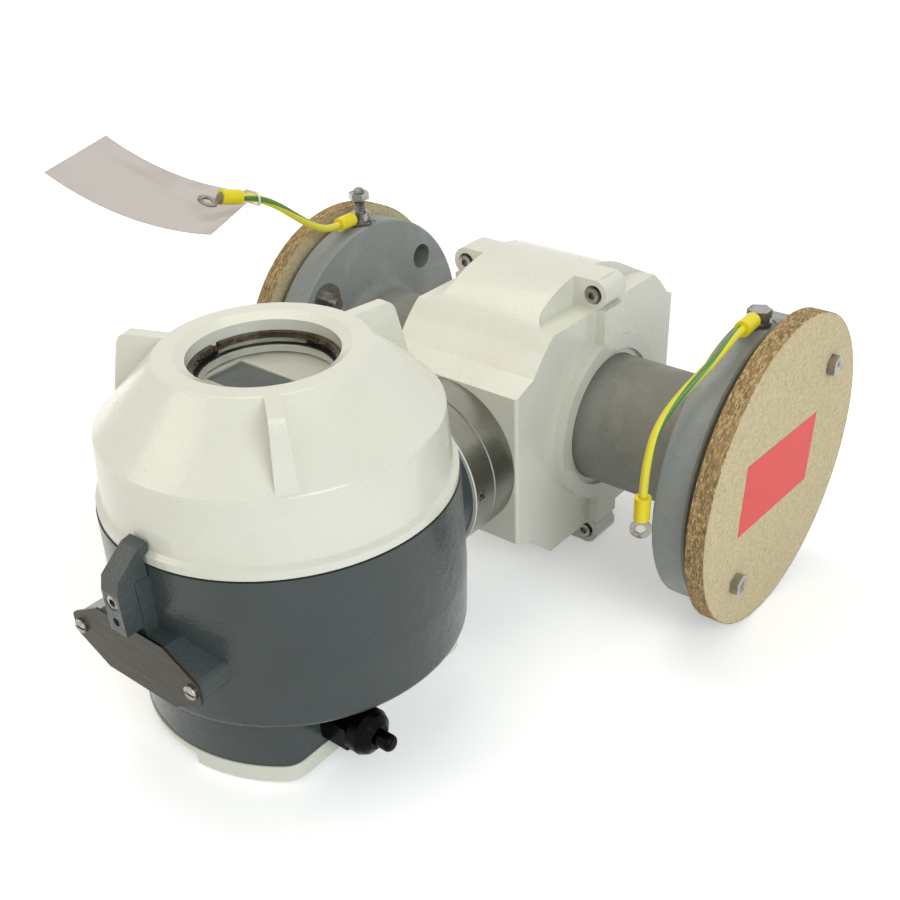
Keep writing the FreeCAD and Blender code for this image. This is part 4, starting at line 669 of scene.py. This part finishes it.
class MeshPiece:
    """One new piece: a bmesh that becomes an object at the origin."""

    def __init__(self, name: str) -> None:
        """Start an empty mesh."""
        self.name = name
        self.mesh = bmesh.new()

    def ring(self, outline: Sequence[Pair], steps: int) -> None:
        """Spin an open outline of radius and height pairs about Z.

        Args:
            outline: Pairs of radius and height.
            steps: Number of steps in the full turn.
        """
        spots = [self.mesh.verts.new((radius, 0, height)) for radius, height in outline]
        edges = [self.mesh.edges.new(pair) for pair in zip(spots, spots[1:])]
        bmesh.ops.spin(self.mesh, geom=spots + edges, axis=(0, 0, 1), cent=(0, 0, 0),
                       dvec=(0, 0, 0), angle=2 * math.pi, steps=steps, use_merge=True)

    def thicken(self, height: float) -> None:
        """Turn the flat faces made so far into closed slabs that reach up by a height."""
        grown = bmesh.ops.extrude_face_region(self.mesh, geom=self.mesh.faces[:],
                                              use_keep_orig=True)
        fresh = [item for item in grown["geom"] if isinstance(item, bmesh.types.BMVert)]
        bmesh.ops.translate(self.mesh, verts=fresh, vec=(0, 0, height))

    def finish(self, body: str, slot: str, material: bpy.types.Material,
               smooth: bool = True, replaces: Sequence[str] = ()) -> bpy.types.Object:
        """Close the mesh, make the object and parent it to its body's empty.

        Args:
            body: The CAD body that it rides on.
            slot: Not used.
            material: Its material.
            smooth: Whether its faces shade smoothly.
            replaces: CAD nodes that it stands for.

        Returns:
            The new object.
        """
        bmesh.ops.remove_doubles(self.mesh, verts=self.mesh.verts[:], dist=TINY)
        bmesh.ops.recalc_face_normals(self.mesh, faces=self.mesh.faces[:])
        data = bpy.data.meshes.new(self.name)
        self.mesh.to_mesh(data)
        self.mesh.free()
        for polygon in data.polygons:
            polygon.use_smooth = smooth
        data.materials.append(material)
        piece = add_object(self.name, data)
        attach(piece, body)
        if replaces:
            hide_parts(*replaces)
        LOG.info("%s: %d faces on %s", self.name, len(data.polygons), body)
        return piece


def soften(piece: bpy.types.Object, width: float, segments: int = 2,
           sharp_from: float = 35.0) -> None:
    """Round a piece's sharp edges with a bevel modifier.

    Args:
        piece: The piece to soften.
        width: The rounding's width.
        segments: Its number of facets.
        sharp_from: The least angle in degrees that counts as sharp.
    """
    bevel = piece.modifiers.new("softened_edges", "BEVEL")
    bevel.width = width
    bevel.segments = segments
    bevel.limit_method = "ANGLE"
    bevel.angle_limit = math.radians(sharp_from)


# -------------------------------------------------------------------------- assemblies


@dataclass
class Assembly:
    """A group of CAD nodes, listed by finish, and any pieces added to it."""

    name: str
    finishes: dict[str, Sequence[str]]

    def dress(self, palette: Palette) -> None:
        """Give the assembly's CAD nodes their materials."""
        for finish, nodes in self.finishes.items():
            for node in nodes:
                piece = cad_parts[node]
                for slot in piece.material_slots:
                    slot.material = palette[finish]
                if not piece.material_slots:
                    piece.data.materials.append(palette[finish])
                LOG.info("%s dressed in %s", node, finish)

    def build(self, palette: Palette) -> None:
        """Add the assembly's own pieces; most need none beyond their CAD nodes."""


@dataclass
class EarthLead(Assembly):
    """A striped earth cable between two crimped lugs."""

    route: Sequence[Triple]
    length: float
    lugs: Sequence[str]
    radius: float = 0.0027
    sides: int = 20

    def spline_points(self) -> list[Vector]:
        """Read the cable's line from a smooth spline through its route.

        Returns:
            Points along the line.
        """
        curve = bpy.data.curves.new(f"{self.name}_line", "CURVE")
        curve.dimensions = "3D"
        curve.resolution_u = 12
        spline = curve.splines.new("NURBS")
        spline.points.add(len(self.route) - 1)
        for point, place in zip(spline.points, self.route):
            point.co = (*place, 1.0)
        spline.order_u = 3
        spline.use_endpoint_u = True
        line = bpy.data.objects.new(f"{self.name}_line", curve)
        mesh = bpy.data.meshes.new_from_object(line)
        points = [vert.co.copy() for vert in mesh.vertices]
        bpy.data.objects.remove(line)
        bpy.data.curves.remove(curve)
        bpy.data.meshes.remove(mesh)
        return points

    def build(self, palette: Palette) -> None:
        """Build the cable as a mapped tube along its line."""
        points = self.spline_points()
        piece = MeshPiece(self.name)
        mesh = piece.mesh
        mapping = mesh.loops.layers.uv.new(CABLE_MAP)
        way = (points[1] - points[0]).normalized()
        start = Vector((0, 0, 1)).rotation_difference(way).to_matrix().to_4x4()
        circle = bmesh.ops.create_circle(
            mesh, segments=self.sides, radius=self.radius, cap_ends=False,
            matrix=Matrix.Translation(points[0]) @ start)
        verts = circle["verts"]
        edges = mesh.edges[:]
        order = {vert: index for index, vert in enumerate(verts)}
        along = {vert: 0.0 for vert in verts}
        travelled = 0.0
        last = verts
        for index in range(1, len(points)):
            onward = points[min(index + 1, len(points) - 1)] - points[index - 1]
            turn = way.rotation_difference(onward.normalized())
            way = onward.normalized()
            grown = bmesh.ops.extrude_edge_only(mesh, edges=edges)["geom"]
            fresh = [item for item in grown if isinstance(item, bmesh.types.BMVert)]
            travelled += (points[index] - points[index - 1]).length
            for vert in fresh:
                source = next(edge.other_vert(vert) for edge in vert.link_edges
                              if edge.other_vert(vert) in order
                              and edge.other_vert(vert) not in fresh)
                order[vert] = order[source]
                along[vert] = travelled
            shift = Matrix.Translation(points[index]) @ turn.to_matrix().to_4x4()
            shift = shift @ Matrix.Translation(-points[index - 1])
            bmesh.ops.transform(mesh, matrix=shift, verts=fresh)
            edges = [item for item in grown if isinstance(item, bmesh.types.BMEdge)
                     and all(vert in fresh for vert in item.verts)]
            last = fresh
        for ring in (verts, last):
            ends = [edge for edge in mesh.edges if all(vert in ring for vert in edge.verts)]
            bmesh.ops.edgeloop_fill(mesh, edges=ends)
        for face in mesh.faces:
            seam = max(order[vert] for vert in face.verts) == self.sides - 1
            for loop in face.loops:
                turn_share = order[loop.vert] / self.sides
                if seam and order[loop.vert] == 0 and len(face.verts) == 4:
                    turn_share = 1.0
                loop[mapping].uv = (turn_share, along[loop.vert])
        cable = piece.finish("sensor", "earth_insulation", palette["earth_cable"],
                             replaces=(self.name.replace("_cable", "_earth_lead"),))


@dataclass
class DisplayModule(Assembly):
    """Display panel under the window: bezel, key marks and unlit segments."""

    bezel_width: float = 0.003
    bezel_height: float = 0.0009
    bezel_edge: float = 0.0003
    digit_height: float = 0.0095
    digit_width: float = 0.0052
    digit_pitch: float = 0.0078
    digit_count: int = 6
    stroke: float = 0.0010
    segment_height: float = 0.00008
    key_radius: float = 0.0034
    key_sides: int = 32
    key_pitch: float = 0.014
    key_aside: float = 0.002
    key_drop: float = 0.011
    key_outline: Sequence[Pair] = (
        (0.0, 0.0), (1.0, 0.0), (1.0, 0.0006), (0.8, 0.0009), (0.0, 0.0007))

    def bezel(self, palette: Palette) -> None:
        """Build the raised frame round the display."""
        low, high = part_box("display_glass")
        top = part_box("display_panel")[1][2]
        piece = MeshPiece("display_bezel")
        for margin in (0.0, self.bezel_width):
            left, front = (value - margin for value in low[:2])
            right, back = (value + margin for value in high[:2])
            corners = [(left, front), (right, front), (right, back), (left, back)]
            spots = [piece.mesh.verts.new((x, y, top)) for x, y in corners]
            for first, second in zip(spots, spots[1:] + spots[:1]):
                piece.mesh.edges.new((first, second))
        bmesh.ops.bridge_loops(piece.mesh, edges=piece.mesh.edges[:])
        piece.thicken(self.bezel_height)
        bezel = piece.finish("transmitter", "panel_plastic", palette["panel_plastic"],
                             smooth=False)
        soften(bezel, self.bezel_edge)

    def bar(self, piece: MeshPiece, spot: Triple, length: float, upright: bool) -> None:
        """Add one segment bar with pointed ends."""
        made = bmesh.ops.create_circle(piece.mesh, segments=6, radius=self.stroke / 2,
                                       cap_ends=True)
        for vert in made["verts"]:
            if abs(vert.co.x) > TINY:
                vert.co.x += math.copysign(length / 2 - self.stroke, vert.co.x)
        turn = Matrix.Rotation(math.radians(90) if upright else 0.0, 4, "Z")
        bmesh.ops.transform(piece.mesh, matrix=Matrix.Translation(spot) @ turn,
                            verts=made["verts"])

    def segments(self, palette: Palette) -> None:
        """Build a row of unlit seven-segment figures."""
        low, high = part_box("display_glass")
        level = high[2]
        middle = (Vector(low) + Vector(high)) / 2
        piece = MeshPiece("display_segments")
        half = self.digit_height / 4
        span = self.digit_pitch * (self.digit_count - 1)
        for index in range(self.digit_count):
            x = middle.x - span / 2 + index * self.digit_pitch
            for row in (-1, 0, 1):
                spot = (x, middle.y + row * half * 2, level)
                self.bar(piece, spot, self.digit_width, False)
            for side in (-1, 1):
                for row in (-1, 1):
                    spot = (x + side * self.digit_width / 2, middle.y + row * half, level)
                    self.bar(piece, spot, self.digit_height / 2, True)
        piece.thicken(self.segment_height)
        piece.finish("transmitter", "lcd_glass", palette["display_ink"], smooth=False)

    def keys(self, palette: Palette) -> None:
        """Build three round key windows below the display."""
        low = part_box("display_glass")[0]
        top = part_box("display_panel")[1][2]
        piece = MeshPiece("display_keys")
        outline = [(self.key_radius * share, height) for share, height in self.key_outline]
        for step in (-1, 0, 1):
            before = set(piece.mesh.verts)
            piece.ring(outline, self.key_sides)
            fresh = [vert for vert in piece.mesh.verts if vert not in before]
            spot = (self.key_aside + step * self.key_pitch, low[1] - self.key_drop, top)
            bmesh.ops.translate(piece.mesh, verts=fresh, vec=spot)
        piece.finish("transmitter", "lcd_glass", palette["display_ink"])

    def build(self, palette: Palette) -> None:
        """Build everything under the window."""
        self.bezel(palette)
        self.segments(palette)
        self.keys(palette)


def lead_finishes(side: str) -> dict[str, Sequence[str]]:
    """List the finishes of one earth lead with its two crimped lugs."""
    return {"crimped_tin": [f"{side}_terminal_lug", f"{side}_free_lug"],
            "yellow_sleeve_plastic": [f"{side}_terminal_sleeve", f"{side}_free_sleeve"],
            "earth_cable": [f"{side}_earth_lead"]}


# Each route runs from the terminal lug's crimp to the free lug's.
NEAR_ROUTE = (
    (0.16247, -0.02447, 0.1004), (0.16287, -0.03246, 0.1004), (0.1626, -0.0431, 0.0977),
    (0.1605, -0.0541, 0.0910), (0.1558, -0.0665, 0.0826), (0.1515, -0.0770, 0.0740),
    (0.1483, -0.0860, 0.0649), (0.1470, -0.0935, 0.0545), (0.1470, -0.0983, 0.0420),
    (0.1470, -0.1008, 0.0298), (0.1470, -0.1009, 0.0185),
)
FAR_ROUTE = (
    (-0.16052, -0.02449, 0.1004), (-0.16028, -0.03248, 0.1004),
    (-0.1606, -0.0421, 0.1031), (-0.1618, -0.0526, 0.1092), (-0.1643, -0.0629, 0.1176),
    (-0.1668, -0.0733, 0.1265), (-0.1689, -0.0846, 0.1340), (-0.1707, -0.0963, 0.1393),
    (-0.1718, -0.1036, 0.1411),
)

ASSEMBLIES = (
    Assembly("sensor", {
        "grey_tube_paint": ["measuring_tube"],
        "grey_flange_paint": ["near_flange", "far_flange"],
        "white_gloss_paint": ["front_housing_shell", "rear_housing_shell"],
        "liner_polymer": ["liner"],
        "copper_winding": ["neck_side_coil", "rear_side_coil"],
        "turned_neck_steel": ["neck_base_ring"],
        "threaded_stud": ["far_earth_stud"],
        "bright_plating": ["electrodes", "housing_screws", "near_earth_washer",
                           "near_spring_washer", "near_earth_bolt", "far_earth_washer",
                           "far_earth_nuts"],
    }),
    Assembly("transport discs", {
        "chipboard": ["near_disc", "far_disc"],
        "red_notice_film": ["red_notice"],
        "bright_plating": ["disc_bolts", "disc_washers", "disc_nuts"],
    }),
    Assembly("film tag", {"milky_film": ["film_tag"], "cord_white": ["tag_tie"]}),
    Assembly("transmitter", {
        "grey_gloss_paint": ["transmitter_housing", "cover_claw"],
        "white_gloss_paint": ["back_cover"],
        "turned_neck_steel": ["neck_collar"],
        "white_plastic": ["neck_gasket"],
        "brushed_plate": ["info_plate"],
        "black_gloss_plastic": ["terminal_block"],
        "bright_plating": ["neck_grub_screw", "plate_screws", "back_cover_screws",
                           "claw_screw"],
    }),
    DisplayModule("display module", {
        "panel_plastic": ["electronics_insert", "display_panel"],
        "display_face": ["display_glass"],
    }),
    Assembly("screw cover", {
        "white_gloss_paint": ["screw_cover", "cover_rim"],
        "window_glass": ["window_glass"],
        "dark_ring": ["window_retaining_ring"],
        "black_rubber": ["cover_gasket"],
    }),
    Assembly("cable entries", {
        "black_gloss_plastic": ["gland_body", "gland_cap_nut", "gland_plug",
                                "blanking_plug"],
        "black_rubber": ["entry_seals"],
    }),
    EarthLead("near_cable", lead_finishes("near"), NEAR_ROUTE, 0.1248,
              ["near_free_lug", "near_free_sleeve"]),
    EarthLead("far_cable", lead_finishes("far"), FAR_ROUTE, 0.0917,
              ["far_free_lug", "far_free_sleeve", "film_tag", "tag_tie"]),
)


# -------------------------------------------------------------------------- studio


@dataclass(frozen=True)
class SoftBox:
    """One square area light."""

    name: str
    place: Triple
    watts: float
    size: float
    colour: Triple = WHITE

    def hang(self, target: Vector) -> None:
        """Create the light and aim it at a point."""
        lamp = bpy.data.lights.new(self.name, "AREA")
        lamp.energy = self.watts
        lamp.size = self.size
        lamp.color = self.colour
        holder = add_object(self.name, lamp)
        holder.location = self.place
        way = target - Vector(self.place)
        holder.rotation_euler = way.to_track_quat("-Z", "Y").to_euler()


@dataclass
class Studio:
    """Pale floor, lightly tinted soft lights, white surround and the camera."""

    eye: Triple = (0.4239, -0.6037, 0.3851)
    heading: float = 39.65
    dip: float = 33.9
    roll: float = -2.26
    lens: float = 45.84
    sensor_width: float = 36.0
    shift: Pair = (-0.0116, 0.0797)
    nearest: float = 0.02
    aim: Triple = (0.0, -0.1, 0.0)
    surround: float = 0.52
    floor_reach: float = 6.0
    floor_gap: float = 0.0004
    floor_colour: Triple = (0.93, 0.93, 0.93)
    floor_lift: float = 0.34
    lift_fade: Pair = (0.55, 1.5)
    boxes: Sequence[SoftBox] = (
        SoftBox("window_box", (1.7, -0.7, 1.0), 16.0, 1.0, (0.88, 0.99, 1.0)),
        SoftBox("lamp_box", (-1.2, -1.5, 1.5), 7.5, 1.0, (1.0, 0.91, 0.72)),
        SoftBox("top_box", (-0.6, 0.2, 1.9), 11.0, 1.2, (1.0, 0.93, 0.77)),
    )

    @staticmethod
    def floor_slope(rounds: int = 20) -> Pair:
        """Find the surface that the discs and the back cover rest on.

        Args:
            rounds: How often the slope is refined.

        Returns:
            The surface's slope, and its height under the pipe's axis.
        """
        low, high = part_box("near_disc")
        radius = (high[2] - low[2]) / 2
        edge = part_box("back_cover")[0]
        slope = 0.0
        for _ in range(rounds):
            slope = (edge[2] + radius * math.hypot(1.0, slope)) / edge[1]
        return slope, -radius * math.hypot(1.0, slope)

    def floor(self) -> None:
        """Build the floor as one large subdivided sheet."""
        slope, level = self.floor_slope()
        mesh = bmesh.new()
        bmesh.ops.create_grid(mesh, x_segments=4, y_segments=4, size=self.floor_reach)
        drop = Matrix.Translation((0, 0, level - self.floor_gap))
        tilt = drop @ Matrix.Rotation(math.atan(slope), 4, "X")
        bmesh.ops.transform(mesh, matrix=tilt, verts=mesh.verts[:])
        data = bpy.data.meshes.new("studio_floor")
        mesh.to_mesh(data)
        mesh.free()
        data.materials.append(self.floor_material())
        add_object("studio_floor", data)

    def floor_material(self) -> bpy.types.Material:
        """Make the floor's pale surface, a little lifted where it is seen."""
        material = bpy.data.materials.new("pale_floor")
        wiring = Wiring.of(material)
        sheet = wiring.add("ShaderNodeBsdfPrincipled", {
            "Base Color": self.floor_colour, "Roughness": 0.9, "Specular IOR Level": 0.1})
        away = wiring.add("ShaderNodeVectorMath", {0: wiring.place()}, operation="LENGTH")
        fade = wiring.ramp(away.outputs["Value"], *self.lift_fade, self.floor_lift, 1.0)
        strength = wiring.times(wiring.seen(), fade)
        lift = wiring.add("ShaderNodeEmission", {"Strength": strength})
        both = wiring.add("ShaderNodeAddShader", {0: sheet.outputs[0], 1: lift.outputs[0]})
        wiring.add("ShaderNodeOutputMaterial", {"Surface": both.outputs[0]})
        return material

    def surroundings(self) -> None:
        """Set the world: plain light on the object, white where it is seen."""
        world = bpy.data.worlds.new("white_surround")
        bpy.context.scene.world = world
        wiring = Wiring.of(world)
        light, white = (
            wiring.add("ShaderNodeBackground", {"Color": WHITE, "Strength": strength})
            for strength in (self.surround, 1.0))
        mixed = wiring.add("ShaderNodeMixShader", {
            0: wiring.seen(), 1: light.outputs[0], 2: white.outputs[0]})
        wiring.add("ShaderNodeOutputWorld", {"Surface": mixed.outputs[0]})

    def camera(self) -> None:
        """Place the camera."""
        turn, dip = math.radians(self.heading), math.radians(self.dip)
        back = Vector((math.sin(turn) * math.cos(dip), -math.cos(turn) * math.cos(dip),
                       math.sin(dip)))
        spin = Quaternion(back, math.radians(self.roll))
        right = spin @ Vector((math.cos(turn), math.sin(turn), 0.0))
        data = bpy.data.cameras.new("view_camera")
        data.lens = self.lens
        data.sensor_width = self.sensor_width
        data.shift_x, data.shift_y = self.shift
        data.clip_start = self.nearest
        camera = add_object("view_camera", data)
        matrix = Matrix((right, back.cross(right), back)).transposed().to_4x4()
        matrix.translation = Vector(self.eye)
        camera.matrix_world = matrix
        bpy.context.scene.camera = camera

    def build(self) -> None:
        """Set up the whole studio."""
        bpy.context.scene.view_settings.view_transform = "Standard"
        for box in self.boxes:
            box.hang(Vector(self.aim))
        self.floor()
        self.surroundings()
        self.camera()


def main() -> None:
    """Build the flow meter's looks and its studio."""
    logging.basicConfig(level=logging.INFO, format="%(name)s %(message)s")
    palette = Palette()
    for assembly in ASSEMBLIES:
        assembly.dress(palette)
        assembly.build(palette)
        LOG.info("%s finished", assembly.name)
    dressed = set(palette.materials.values())
    bare = [name for name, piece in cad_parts.items() if piece.type == "MESH"
            and not any(slot.material in dressed for slot in piece.material_slots)]
    LOG.info("nodes without a finish: %s", bare)
    Studio().build()
    bpy.context.view_layer.update()


if __name__ == "__main__":
    main()
